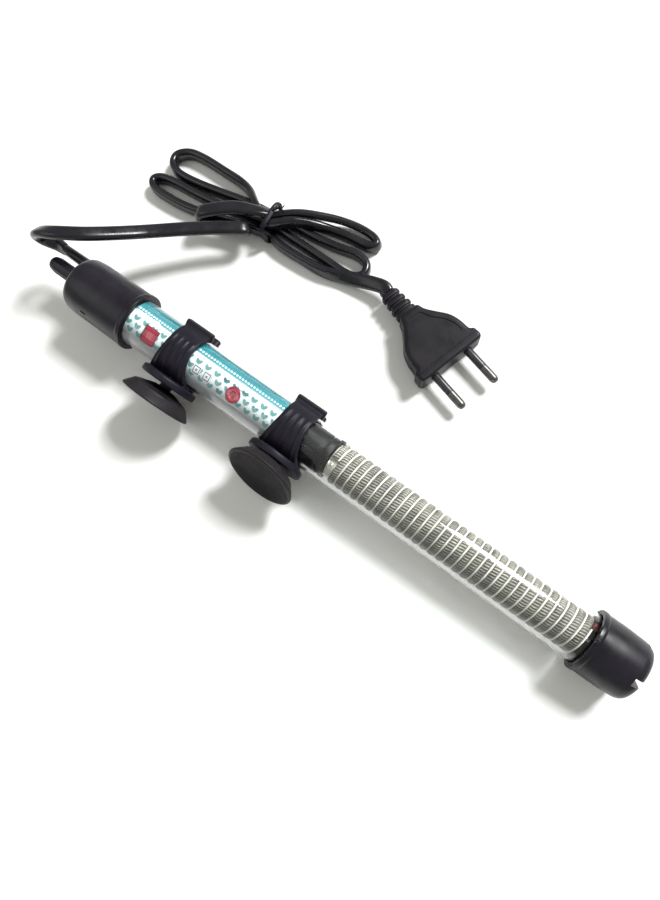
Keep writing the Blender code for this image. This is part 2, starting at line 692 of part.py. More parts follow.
def make_twist_tie():
    outer = rounded_loop(TIE_HALF_WIDTH + TIE_THICK, TIE_HALF_HEIGHT + TIE_THICK, 28)
    inner = rounded_loop(TIE_HALF_WIDTH, TIE_HALF_HEIGHT, 28)
    height = TIE_HALF_HEIGHT + TIE_THICK + 0.1
    upright = Matrix.Rotation(TIE_TURN, 3, "Z") @ Matrix.Rotation(math.radians(90), 3, "Z")
    upright = upright @ Matrix.Rotation(math.radians(90), 3, "X")
    return flat_shape("twist_tie", [outer, inner], TIE_WIDTH, None, CORD_BLACK, (*TIE_AT, height), upright.to_euler())


def plug_outline():
    """Half outline of the plug's body, from the cord end to the front, mirrored across its axis."""
    back = -PLUG_LENGTH
    half = [(back, 5.4), (back + 4, 6.4), (back + 8.5, 10.0), (back + 13, 13.4), (back + 18, 14.9), (back + 24.5, 15.3)]
    half += [(back + 25.2, 17.3), (-0.6, 17.3), (0.0, 16.7)]
    return half + [(x, -y) for x, y in reversed(half)]


def make_plug():
    body = as_mesh(flat_shape("plug_body", [plug_outline()], 2 * PLUG_HALF - 1.5, PLUG, CORD_BLACK))
    smooth(chamfer(body, 1.2, 2), 40)
    for side in (-1, 1):
        y = side * PIN_SPACING / 2
        number = 1 if side < 0 else 2
        boolean(body, drum("pin_bore_%d" % number, PIN_R + GAP, -6.0, 2.0, PLUG, None, y=y))
        core = [(PIN_LENGTH, 0.0), (PIN_LENGTH, 1.2), (PIN_LENGTH - 0.8, PIN_R), (10.3, PIN_R), (10.3, 1.2)]
        core += [(-5.6, 1.2), (-5.6, 0.0)]
        turned("plug_pin_%d" % number, core, PLUG, STEEL, (0, y, 0), closed=False, steps=20)
        sleeve = [(10.0, PIN_R), (-5.4, PIN_R), (-5.4, 1.5), (10.0, 1.5)]
        turned("pin_sleeve_%d" % number, sleeve, PLUG, CORD_BLACK, (0, y, 0), steps=20)
    return body


def make_plug_relief():
    """The ribbed sleeve where the cord enters the plug."""
    start = -PLUG_LENGTH - GAP
    half = [(start, 5.6)]
    for i in range(3):
        x = start - 3.0 - 3.6 * i
        wide = 5.2 - 0.35 * i
        half += [(x, wide), (x, wide - 1.0), (x - 1.2, wide - 1.0), (x - 1.2, wide - 0.2)]
    half.append((start - PLUG_RELIEF + GAP, 4.0))
    loop = half + [(x, -y) for x, y in reversed(half)]
    relief = as_mesh(flat_shape("plug_strain_relief", [loop], 7.4, PLUG, CORD_BLACK))
    return chamfer(relief, 0.25)


clear_scene()
PARTS = collection("aquarium_heater")
CUTTERS = collection("cutters", hidden=True)

GLASS = material("glass", (0.86, 0.9, 0.88), 0.04, transmission=0.9)
CAP_BLACK = material("cap_black", (0.035, 0.032, 0.04), 0.45)
CLIP_BLACK = material("clip_black", (0.03, 0.028, 0.036), 0.5)
RUBBER = material("rubber", (0.035, 0.033, 0.036), 0.6)
BUNG_GREY = material("bung_grey", (0.12, 0.12, 0.12), 0.7)
LABEL_WHITE = material("label_white", (0.85, 0.88, 0.87), 0.4)
LENS_RED = material("lens_red", (0.65, 0.03, 0.06), 0.3)
LAMP_GLASS = material("lamp_glass", (0.9, 0.55, 0.4), 0.1, transmission=0.5)
BAKELITE = material("bakelite", (0.2, 0.12, 0.07), 0.5)
BRASS = material("brass", (0.7, 0.52, 0.25), 0.3, metallic=1.0)
SILVER = material("silver", (0.8, 0.8, 0.8), 0.25, metallic=1.0)
STEEL = material("steel", (0.6, 0.6, 0.6), 0.3, metallic=1.0)
COPPER = material("copper", (0.7, 0.4, 0.25), 0.35, metallic=1.0)
RESISTOR_TAN = material("resistor_tan", (0.6, 0.5, 0.35), 0.5)
CAPACITOR_BLUE = material("capacitor_blue", (0.1, 0.25, 0.5), 0.4)
CERAMIC = material("ceramic", (0.86, 0.85, 0.8), 0.6)
COIL_GREY = material("coil_grey", (0.22, 0.21, 0.2), 0.4, metallic=0.8)
FUSE_RED = material("fuse_red", (0.5, 0.05, 0.04), 0.5)
CORD_BLACK = material("cord_black", (0.025, 0.024, 0.03), 0.4)

RIG_EMPTY = empty("heater_rig", RIG, (0, TILT, 0))
ADJUSTER = empty("adjuster_turn", (0, 0, 0), (0, 0, 0), RIG_EMPTY)
POINTER = empty("pointer_slide", (0, 0, 0), (0, 0, 0), RIG_EMPTY)
BIMETAL_HEIGHT = FRAME_Z + 0.7 + GAP + 3.2 + GAP + 1.2 + GAP + 1.0 + 0.6
BIMETAL = empty("bimetal_hinge", (BIMETAL_X, 0, BIMETAL_HEIGHT), (0, 0, 0), RIG_EMPTY)
CLIPS = [
    empty("clip_%d_slide" % (i + 1), (CLIP_X[i], 0, 0), (math.radians(90) + CLIP_DROOP[i], 0, 0), RIG_EMPTY)
    for i in range(2)
]
PLUG = empty("plug_front", (*PLUG_FRONT, PLUG_HALF), (0, 0, PLUG_TURN))

make_glass_tube()
make_top_cap()
make_cord_gland()
make_sealing_bung()
make_foot_cap()
make_knob()
make_knob_shaft()
make_knob_oring()
make_label_sleeve()
make_lamp()
make_pointer()
make_thermostat()
make_bimetal()
make_inner_holder()
make_ceramic_core()
make_heating_coil()
make_element_wiring()
make_supply_wires()
for index in range(2):
    make_clip(index)
    make_cup(index)
make_cord()
make_twist_tie()
make_plug()
make_plug_relief()
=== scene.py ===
"""Looks of the submersible aquarium heater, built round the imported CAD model.

Heater pieces are made in the heater's own frame, in millimetres: X from knob to foot, Z up, clips towards -Y.
"""

import json
import math

import bmesh
import bpy
from mathutils import Matrix, Vector


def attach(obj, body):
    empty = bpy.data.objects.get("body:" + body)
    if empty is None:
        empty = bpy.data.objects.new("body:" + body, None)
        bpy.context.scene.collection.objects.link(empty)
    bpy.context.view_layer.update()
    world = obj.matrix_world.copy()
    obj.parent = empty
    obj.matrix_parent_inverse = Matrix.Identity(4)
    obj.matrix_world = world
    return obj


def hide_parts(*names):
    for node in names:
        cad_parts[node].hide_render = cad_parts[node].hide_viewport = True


MM = 0.001
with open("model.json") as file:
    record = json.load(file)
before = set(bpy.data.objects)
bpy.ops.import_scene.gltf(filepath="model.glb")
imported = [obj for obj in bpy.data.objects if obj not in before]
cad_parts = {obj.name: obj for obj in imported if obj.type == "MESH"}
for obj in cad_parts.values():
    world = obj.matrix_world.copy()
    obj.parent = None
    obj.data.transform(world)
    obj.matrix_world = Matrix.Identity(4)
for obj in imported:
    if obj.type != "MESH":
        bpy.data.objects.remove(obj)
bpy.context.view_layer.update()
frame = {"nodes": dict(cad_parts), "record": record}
JOINTS = {j["name"]: j for j in frame["record"]["behaviour"]["joints"]}
MOUNTS = {m["name"]: m for m in frame["record"]["mounts"]}

# The heater's frame, read from the joints along its axis
AXIS = Vector(JOINTS["clip_2_travel"]["axis"])
CLIP_X = (-77.5, -17.5)
ORIGIN = Vector(JOINTS["clip_2_travel"]["pos_m"]) - AXIS * CLIP_X[1] * MM


def basis(x_axis, z_axis, origin):
    """A matrix from its X and Z directions and its origin; Z gives way."""
    x_axis = x_axis.normalized()
    y_axis = z_axis.cross(x_axis).normalized()
    z_axis = x_axis.cross(y_axis)
    made = Matrix((x_axis, y_axis, z_axis)).transposed().to_4x4()
    made.translation = origin
    return made


RIG = basis(AXIS, Vector((0, 0, 1)), ORIGIN)
STUDS = [Vector(JOINTS["cup_%d_spin" % i]["axis"]) for i in (1, 2)]
PIVOTS = [Vector(JOINTS["cup_%d_spin" % i]["pos_m"]) for i in (1, 2)]
CLIP_FRAMES = [basis(AXIS, STUDS[i], ORIGIN + AXIS * CLIP_X[i] * MM) for i in range(2)]
CUP_AXES = [Vector(MOUNTS["cup_%d_rim" % i]["axis"]) for i in (1, 2)]
STUD_FRAMES = [basis(AXIS, STUDS[i], PIVOTS[i]) for i in range(2)]
CUP_FRAMES = [basis(AXIS, CUP_AXES[i], PIVOTS[i]) for i in range(2)]
SEAT = (PIVOTS[0] - (ORIGIN + AXIS * CLIP_X[0] * MM)).length / MM  # disc's outer face, from the tube's axis
PLUG_TURN = math.radians(-15.5)
PLUG_FRONT = Vector((24.2, 74.7, 6.85))
PLUG_AXES = Matrix.Translation(PLUG_FRONT * MM) @ Matrix.Rotation(PLUG_TURN, 4, "Z")


def add_object(name, data, place=None):
    """A new object in the scene, placed by a matrix."""
    item = bpy.data.objects.new(name, data)
    item.matrix_world = place or Matrix.Identity(4)
    bpy.context.scene.collection.objects.link(item)
    return item


# Camera

VIEW_RIGHT = Vector((0.8018, 0.5904, -0.0929))
VIEW_UP = Vector((-0.5616, 0.7975, 0.2205))
VIEW_AHEAD = Vector((-0.2044, 0.1246, -0.971))
VIEW_FROM = Vector((0.06115, -0.02376, 0.28239))
VIEW_LENS = 25.845


def make_camera():
    data = bpy.data.cameras.new("camera")
    data.lens = VIEW_LENS
    data.sensor_width = 36.0
    data.clip_start = 0.01
    turn = Matrix((VIEW_RIGHT, VIEW_UP, -VIEW_AHEAD)).transposed()
    place = Matrix.Translation(VIEW_FROM) @ turn.to_4x4()
    bpy.context.scene.camera = add_object("camera", data, place)


make_camera()


# Shader nodes


class Shader:
    """A Principled material and short ways to add the nodes that feed it."""

    def __init__(self, name, colour=(0.5, 0.5, 0.5), roughness=0.5, **settings):
        self.material = bpy.data.materials.new(name)
        self.material.use_nodes = True
        self.tree = self.material.node_tree
        self.main = self.tree.nodes["Principled BSDF"]
        self.main.inputs["Base Color"].default_value = (*colour, 1)
        self.main.inputs["Roughness"].default_value = roughness
        for key, value in settings.items():
            self.main.inputs[key.replace("_", " ")].default_value = value

    def node(self, kind, **settings):
        made = self.tree.nodes.new(kind)
        for key, value in settings.items():
            setattr(made, key, value)
        return made

    def join(self, output, target):
        self.tree.links.new(output, target)

    def feed(self, socket, value):
        if hasattr(value, "links"):
            self.join(value, socket)
        else:
            socket.default_value = value

    def maths(self, operation, first, second=0.0):
        made = self.node("ShaderNodeMath", operation=operation)
        for socket, value in zip(made.inputs, (first, second)):
            self.feed(socket, value)
        return made.outputs[0]

    def place(self, kind="Object"):
        return self.node("ShaderNodeTexCoord").outputs[kind]

    def noise(self, scale, detail=3.0, roughness=0.5, at=None, stretch=None):
        made = self.node("ShaderNodeTexNoise")
        made.inputs["Scale"].default_value = scale
        made.inputs["Detail"].default_value = detail
        made.inputs["Roughness"].default_value = roughness
        at = at or self.place()
        if stretch:
            mapping = self.node("ShaderNodeMapping")
            mapping.inputs["Scale"].default_value = stretch
            self.join(at, mapping.inputs["Vector"])
            at = mapping.outputs[0]
        self.join(at, made.inputs["Vector"])
        return made.outputs["Fac"]

    def ramp(self, value, low, high, low_at=0.0, high_at=1.0):
        made = self.node("ShaderNodeMapRange")
        self.feed(made.inputs["Value"], value)
        for name, number in (("From Min", low_at), ("From Max", high_at), ("To Min", low), ("To Max", high)):
            made.inputs[name].default_value = number
        return made.outputs[0]

    def mix(self, share, first, second):
        made = self.node("ShaderNodeMix", data_type="RGBA")
        self.feed(made.inputs[0], share)
        for socket, value in ((made.inputs[6], first), (made.inputs[7], second)):
            self.feed(socket, value if hasattr(value, "links") else (*value, 1))
        return made.outputs[2]

    def colour(self, value):
        self.join(value, self.main.inputs["Base Color"])
        return self

    def rough(self, value):
        self.join(value, self.main.inputs["Roughness"])
        return self

    def bump(self, height, depth):
        made = self.node("ShaderNodeBump")
        made.inputs["Strength"].default_value = 1.0
        made.inputs["Distance"].default_value = depth * MM
        self.join(height, made.inputs["Height"])
        self.join(made.outputs[0], self.main.inputs["Normal"])
        return self


def moulded(name, colour, light, roughness, grain=900.0, depth=0.02, scuffs=60.0, sheen=0.5, **settings):
    """Moulded plastic or rubber: cloudy colour, uneven gloss and a fine grain."""
    look = Shader(name, colour, roughness, Specular_IOR_Level=sheen, **settings)
    cloud = look.noise(scuffs, 4.0, 0.6)
    look.colour(look.mix(look.ramp(cloud, 0.0, 1.0, 0.35, 0.75), colour, light))
    patch = look.noise(scuffs * 2.3, 3.0, 0.6)
    look.rough(look.ramp(patch, roughness - 0.09, roughness + 0.12, 0.3, 0.7))
    look.bump(look.noise(grain, 2.0, 0.6), depth)
    return look.material


def metal(name, colour, roughness):
    """Drawn or stamped metal with fine lengthwise lines."""
    look = Shader(name, colour, roughness, Metallic=1.0)
    lines = look.noise(3.0, 4.0, 0.6, stretch=(40, 400, 400))
    look.rough(look.ramp(lines, roughness - 0.08, roughness + 0.15, 0.3, 0.7))
    shade = tuple(c * 0.72 for c in colour)
    look.colour(look.mix(look.ramp(look.noise(120.0), 0.0, 1.0, 0.4, 0.8), colour, shade))
    look.bump(lines, 0.01)
    return look.material


def make_glass():
    look = Shader("tube_glass", (0.97, 0.985, 0.98), 0.02, IOR=1.47, Transmission_Weight=1.0)
    smear = look.noise(45.0, 5.0, 0.65)
    look.rough(look.ramp(smear, 0.012, 0.05, 0.4, 0.8))
    look.bump(look.noise(30.0, 2.0), 0.02)
    clear = look.node("ShaderNodeBsdfTransparent")
    clear.inputs["Color"].default_value = (0.95, 0.97, 0.96, 1)
    blend = look.node("ShaderNodeMixShader")
    path = look.node("ShaderNodeLightPath")
    look.join(path.outputs["Is Shadow Ray"], blend.inputs[0])
    look.join(look.main.outputs[0], blend.inputs[1])
    look.join(clear.outputs[0], blend.inputs[2])
    output = look.tree.nodes["Material Output"]
    look.join(blend.outputs[0], output.inputs["Surface"])
    return look.material


def make_label_print():
    """White film with a teal band, dotted lines and staggered pairs of leaves.

    U runs along the tube and V round it; both are stored in hundreds of millimetres.
    """
    look = Shader("label_print", (0.85, 0.88, 0.88), 0.38)
    apart = look.node("ShaderNodeSeparateXYZ")
    look.join(look.place("UV"), apart.inputs[0])
    u = look.maths("MULTIPLY", apart.outputs[0], 100.0)
    v = look.maths("MULTIPLY", apart.outputs[1], 100.0)
    white = look.mix(look.ramp(v, 0.0, 1.0, -6.5, -3.0), (0.30, 0.31, 0.32), (0.52, 0.55, 0.57))
    ink = None
    for row_shift, centre in ((0.0, 0.1), (2.6, -2.9), (0.4, -5.6)):
        cell = look.maths("FRACT", look.maths("DIVIDE", look.maths("ADD", u, row_shift + 400), 5.0))
        along = look.maths("MULTIPLY", look.maths("SUBTRACT", cell, 0.5), 5.0)
        across = look.maths("SUBTRACT", v, centre)
        for lean, shift in ((0.65, 0.62), (-0.65, -0.62)):
            c, s = math.cos(lean), math.sin(lean)
            moved = look.maths("SUBTRACT", along, shift)
            p = look.maths("ADD", look.maths("MULTIPLY", moved, c), look.maths("MULTIPLY", across, -s))
            q = look.maths("ADD", look.maths("MULTIPLY", moved, s), look.maths("MULTIPLY", across, c))
            size = look.maths("ADD", look.maths("POWER", look.maths("DIVIDE", p, 0.78), 2.0),
                              look.maths("POWER", look.maths("DIVIDE", q, 1.36), 2.0))
            leaf = look.ramp(size, 1.0, 0.0, 0.8, 1.1)
            ink = leaf if ink is None else look.maths("MAXIMUM", ink, leaf)
    mottle = look.ramp(look.noise(260.0, 1.0, at=look.place("UV")), 0.0, 1.0, 0.4, 0.6)
    tint = look.mix(mottle, (0.015, 0.125, 0.14), (0.035, 0.19, 0.165))
    printed = look.mix(look.maths("MULTIPLY", ink, 0.92), white, tint)
    band = look.ramp(v, 0.0, 1.0, 2.2, 3.6)
    teal = look.mix(look.ramp(v, 0.0, 1.0, 4.5, 9.5), (0.004, 0.118, 0.138), (0.002, 0.078, 0.098))
    colour = look.mix(band, printed, teal)
    dot_radius, dot_pitch = 0.4, 1.55
    for centre in (4.7, 2.6):
        cell = look.maths("FRACT", look.maths("DIVIDE", look.maths("ADD", u, 400), dot_pitch))
        along = look.maths("MULTIPLY", look.maths("SUBTRACT", cell, 0.5), dot_pitch)
        across = look.maths("SUBTRACT", v, centre)
        squares = look.maths("ADD", look.maths("POWER", along, 2.0), look.maths("POWER", across, 2.0))
        edge = look.ramp(look.maths("SQRT", squares), 1.0, 0.0, dot_radius * 0.85, dot_radius * 1.15)
        colour = look.mix(edge, colour, (0.86, 0.93, 0.94))
    for centre_u in (-66.4, -60.8):
        du = look.maths("ABSOLUTE", look.maths("SUBTRACT", u, centre_u))
        dv = look.maths("ABSOLUTE", look.maths("SUBTRACT", v, -3.4))
        reach = look.maths("MAXIMUM", du, dv)
        colour = look.mix(look.ramp(reach, 1.0, 0.0, 1.95, 2.1), colour, white)
        inside = look.ramp(reach, 1.0, 0.0, 1.6, 1.75)
        outside = look.ramp(reach, 0.0, 1.0, 1.15, 1.3)
        colour = look.mix(look.maths("MULTIPLY", inside, outside), colour, (0.05, 0.06, 0.07))
        dot = look.ramp(reach, 1.0, 0.0, 0.4, 0.55)
        colour = look.mix(dot, colour, (0.05, 0.06, 0.07))
    look.colour(colour)
    look.rough(look.ramp(look.noise(80.0), 0.3, 0.5))
    look.bump(look.noise(500.0, 2.0), 0.01)
    return look.material


def make_coil_look():
    """Resistance wire wound in a fine spiral, with painted shade, near black, in the grooves between its fine
    turns and the wire's patchy tone on the crests: U counts its turns along the helix and V goes round it.
    """
    look = Shader("coil_wire", (0.1, 0.095, 0.09), 0.6, Specular_IOR_Level=0.3)
    apart = look.node("ShaderNodeSeparateXYZ")
    look.join(look.place("UV"), apart.inputs[0])
    turns = look.maths("ADD", apart.outputs[0], apart.outputs[1])
    wave = look.maths("SINE", look.maths("MULTIPLY", turns, 2 * math.pi))
    height = look.ramp(wave, 0.0, 1.0, -1.0, 1.0)
    patch = look.ramp(look.noise(150.0, 3.0), 0.0, 1.0, 0.35, 0.7)
    bright = look.mix(patch, (0.34, 0.32, 0.275), (0.13, 0.125, 0.105))
    # painted shade: the colour follows the bump, near black in its grooves and lighter on its crests
    look.colour(look.mix(height, (0.011, 0.010, 0.009), bright))
    look.rough(look.ramp(patch, 0.5, 0.7))
    look.bump(height, 0.22)
    return look.material


def make_floor_look():
    look = Shader("floor_white", (0.94, 0.94, 0.93), 0.75)
    cloud = look.noise(5.0, 3.0)
    look.colour(look.mix(cloud, (0.925, 0.925, 0.915), (0.95, 0.95, 0.945)))
    look.bump(look.noise(350.0, 2.0), 0.01)
    return look.material


GLASS = make_glass()
LABEL = make_label_print()
COIL = make_coil_look()
CAP = moulded("cap_plastic", (0.007, 0.006, 0.010), (0.015, 0.013, 0.020), 0.32, sheen=0.32)
CLIP = moulded("clip_plastic", (0.007, 0.006, 0.012), (0.015, 0.013, 0.021), 0.45, sheen=0.22)
CUP = moulded("cup_rubber", (0.010, 0.008, 0.011), (0.021, 0.018, 0.021), 0.5, scuffs=90.0, sheen=0.22)
HOLDER = moulded("holder_plastic", (0.003, 0.0028, 0.004), (0.006, 0.0055, 0.007), 0.45, grain=200.0,
                 depth=0.004, sheen=0.2)
CORD = moulded("cord_pvc", (0.004, 0.0036, 0.007), (0.010, 0.009, 0.014), 0.25, depth=0.01, sheen=0.5)
PLUG = moulded("plug_pvc", (0.006, 0.005, 0.008), (0.012, 0.010, 0.015), 0.42, sheen=0.24)
INSULATION = moulded("pin_insulation", (0.02, 0.02, 0.024), (0.035, 0.034, 0.04), 0.3)
CERAMIC = moulded("ceramic_white", (0.64, 0.63, 0.58), (0.50, 0.49, 0.45), 0.6, grain=700.0, depth=0.03,
                  sheen=0.3)
RED = moulded("red_lens", (0.19, 0.005, 0.022), (0.26, 0.012, 0.032), 0.35, sheen=0.3)
RED_LIGHT = moulded("red_centre", (0.30, 0.035, 0.055), (0.38, 0.07, 0.085), 0.35, sheen=0.3)
BUNG = moulded("bung_rubber", (0.06, 0.06, 0.06), (0.09, 0.09, 0.09), 0.65)
BAKELITE = moulded("bakelite", (0.10, 0.045, 0.02), (0.16, 0.08, 0.04), 0.35)
SLEEVE = moulded("fuse_sleeve", (0.055, 0.006, 0.008), (0.09, 0.014, 0.014), 0.6, sheen=0.15)
BLUE = moulded("capacitor_case", (0.03, 0.12, 0.36), (0.06, 0.18, 0.42), 0.35)
TAN = moulded("resistor_body", (0.5, 0.38, 0.22), (0.58, 0.46, 0.3), 0.35)
LAMP = moulded("lamp_glass", (0.85, 0.5, 0.36), (0.9, 0.6, 0.45), 0.08, Transmission_Weight=0.6)
INSULATED = moulded("wire_insulation", (0.72, 0.71, 0.68), (0.6, 0.59, 0.56), 0.45)
PIN_METAL = metal("pin_metal", (0.16, 0.155, 0.15), 0.32)
STEEL = metal("shaft_steel", (0.6, 0.6, 0.6), 0.3)
BRASS = metal("brass", (0.72, 0.52, 0.24), 0.3)
SILVER = metal("contact_silver", (0.82, 0.82, 0.8), 0.22)
BIMETAL = metal("bimetal_strip", (0.58, 0.53, 0.44), 0.32)


# Building meshes


def body_of(node):
    for name, nodes in frame["record"]["behaviour"]["bodies"].items():
        if node in nodes:
            return name
    raise KeyError(node)


def finish_piece(item, material, node, angle=38, extra=()):
    """Gives a piece its look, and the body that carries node. Edges sharper than angle stay sharp.

    The piece stands for node and those in extra. With extra=None it stands for no node.
    """
    item.data.materials.clear()
    item.data.materials.append(material)
    item.data.shade_smooth()
    item.data.set_sharp_from_angle(angle=math.radians(angle))
    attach(item, body_of(node))
    if extra is not None:
        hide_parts(node, *extra)
    return item


def mesh_from(name, points, faces, place):
    """A mesh object from points in millimetres, placed by a matrix."""
    mesh = bpy.data.meshes.new(name)
    mesh.from_pydata([Vector(p) * MM for p in points], [], faces)
    mesh.validate()
    item = add_object(name, mesh, place)
    work = bmesh.new()
    work.from_mesh(mesh)
    bmesh.ops.recalc_face_normals(work, faces=work.faces)
    work.to_mesh(mesh)
    work.free()
    return item


def write_uv(mesh, name, marks):
    """A UV layer from one tuple of (u, v) corners for each face."""
    layer = mesh.uv_layers.new(name=name)
    for face, corners in zip(mesh.polygons, marks):
        for loop, corner in zip(face.loop_indices, corners):
            layer.data[loop].uv = corner


def rounded(outline, radius, steps, closed=False):
    """The outline with its corners rounded off, apart from the two ends of an open one.

    radius is one number, or one for each corner.
    """
    points = [Vector(p) for p in outline]
    count = len(points)
    made = []
    for i, corner in enumerate(points):
        reach = radius[i] if isinstance(radius, (list, tuple)) else radius
        if (not closed and i in (0, count - 1)) or reach <= 0:
            made.append(corner)
            continue
        before = points[i - 1] - corner
        after = points[(i + 1) % count] - corner
        cut = min(reach, before.length * 0.49, after.length * 0.49)
        start = corner + before.normalized() * cut
        end = corner + after.normalized() * cut
        for k in range(steps + 1):
            t = k / steps
            made.append(start * (1 - t) ** 2 + corner * 2 * t * (1 - t) + end * t * t)
    return made


def turned(name, outline, place, steps, closed=True, wave=None):
    """Turns (along, radius) points about local X.

    A closed outline makes a ring; an open one starts and ends on the axis.
    wave(along, angle) is added to the radius.
    """
    points, faces, rows = [], [], []
    for along, radius in outline:
        row = []
        if radius < 1e-6:
            row = [len(points)] * steps
            points.append((along, 0, 0))
        else:
            for k in range(steps):
                angle = 2 * math.pi * k / steps
                reach = radius + (wave(along, angle) if wave else 0.0)
                row.append(len(points))
                points.append((along, reach * math.sin(angle), reach * math.cos(angle)))
        rows.append(row)
    pairs = list(zip(rows, rows[1:])) + ([(rows[-1], rows[0])] if closed else [])
    for near, far in pairs:
        for k in range(steps):
            j = (k + 1) % steps
            ring = [near[k], near[j], far[j], far[k]]
            ring = [v for n, v in enumerate(ring) if v not in ring[:n]]
            if len(ring) > 2:
                faces.append(ring)
    return mesh_from(name, points, faces, place)


ALONG_Z = Matrix.Rotation(math.radians(-90), 4, "Y")  # turns a piece made along X to stand along Z


def loft(name, rings, place, caps=True):
    """A skin over closed rings of equal count."""
    points = [p for ring in rings for p in ring]
    count = len(rings[0])
    faces = []
    for r in range(len(rings) - 1):
        for k in range(count):
            j = (k + 1) % count
            faces.append((r * count + k, r * count + j, (r + 1) * count + j, (r + 1) * count + k))
    if caps:
        faces.append(tuple(reversed(range(count))))
        faces.append(tuple(range((len(rings) - 1) * count, len(rings) * count)))
    return mesh_from(name, points, faces, place)


def oval(half_y, half_z, power, count=28):
    """Points round a rounded rectangle, as (y, z)."""
    made = []
    for k in range(count):
        angle = 2 * math.pi * k / count
        c, s = math.cos(angle), math.sin(angle)
        y = half_y * math.copysign(abs(c) ** power, c)
        z = half_z * math.copysign(abs(s) ** power, s)
        made.append((y, z))
    return made


def slab(name, outline, low, high, place, rounding=0.0, steps=3):
    """An extruded outline with rounded upper and lower edges. The outline is (x, y) points."""
    centre = sum((Vector(p) for p in outline), Vector((0, 0))) / len(outline)
    rings = []
    layers = []
    for k in range(steps + 1 if rounding > 0 else 1):
        angle = math.pi / 2 * k / steps
        layers.append((low + rounding * (1 - math.sin(angle)), rounding * (1 - math.cos(angle))))
    for height, inset in list(reversed(layers)) + [(low + high - h, i) for h, i in layers]:
        ring = []
        count = len(outline)
        for k in range(count):
            before = Vector(outline[k]) - Vector(outline[k - 1])
            after = Vector(outline[(k + 1) % count]) - Vector(outline[k])
            normal = Vector((-(before + after).y, (before + after).x))
            if normal.length < 1e-9:
                normal = centre - Vector(outline[k])
            spot = Vector(outline[k]) + normal.normalized() * inset * turning(outline)
            ring.append((spot.x, spot.y, height))
        rings.append(ring)
    return loft(name, rings, place)


def turning(outline):
    """+1 for an outline that runs anticlockwise, and -1 otherwise."""
    area = sum(a[0] * b[1] - b[0] * a[1] for a, b in zip(outline, list(outline[1:]) + [outline[0]]))
    return 1.0 if area > 0 else -1.0


def box_piece(name, size, centre, place, edge):
    """A box with rounded edges."""
    x, y = size[0] / 2, size[1] / 2
    outline = rounded([(-x, -y), (x, -y), (x, y), (-x, y)], edge * 2.2, 4, closed=True)
    outline = [(p.x, p.y) for p in outline]
    spot = place @ Matrix.Translation(Vector(centre) * MM)
    return slab(name, outline, -size[2] / 2, size[2] / 2, spot, edge)


def evaluated(item):
    """Replaces the object's modifiers by their result."""
    bpy.context.view_layer.update()
    graph = bpy.context.evaluated_depsgraph_get()
    mesh = bpy.data.meshes.new_from_object(item.evaluated_get(graph))
    item.modifiers.clear()
    item.data = mesh
    return item


def joined(name, items):
    """One object of several, in the first one's frame."""
    base = items[0]
    work = bmesh.new()
    inverse = base.matrix_world.inverted()
    for item in items:
        copy = item.data.copy()
        copy.transform(inverse @ item.matrix_world)
        work.from_mesh(copy)
        bpy.data.meshes.remove(copy)
    work.to_mesh(base.data)
    work.free()
    for item in items[1:]:
        bpy.data.objects.remove(item, do_unlink=True)
    base.name = name
    return base


def cut(item, tools):
    for tool in tools:
        step = item.modifiers.new("cut", "BOOLEAN")
        step.operation = "DIFFERENCE"
        step.solver = "EXACT"
        step.object = tool
    evaluated(item)
    for tool in tools:
        bpy.data.objects.remove(tool, do_unlink=True)
    return item


def melted(item, voxel, rounds, share):
    """Fuses overlapping closed shells into one moulded piece, and keeps a share of its triangles."""
    step = item.modifiers.new("fuse", "REMESH")
    step.mode = "VOXEL"
    step.voxel_size = voxel * MM
    soft = item.modifiers.new("soften", "SMOOTH")
    soft.factor = 0.5
    soft.iterations = rounds
    thin = item.modifiers.new("thin", "DECIMATE")
    thin.ratio = share
    return evaluated(item)


# Cord

CORD_WIDTH = 6.8
CORD_THICK = 4.0
GLAND_START = -136.4
GLAND_END = -157.4
CORD_Y = 8.0
CORD_Z = 1.0
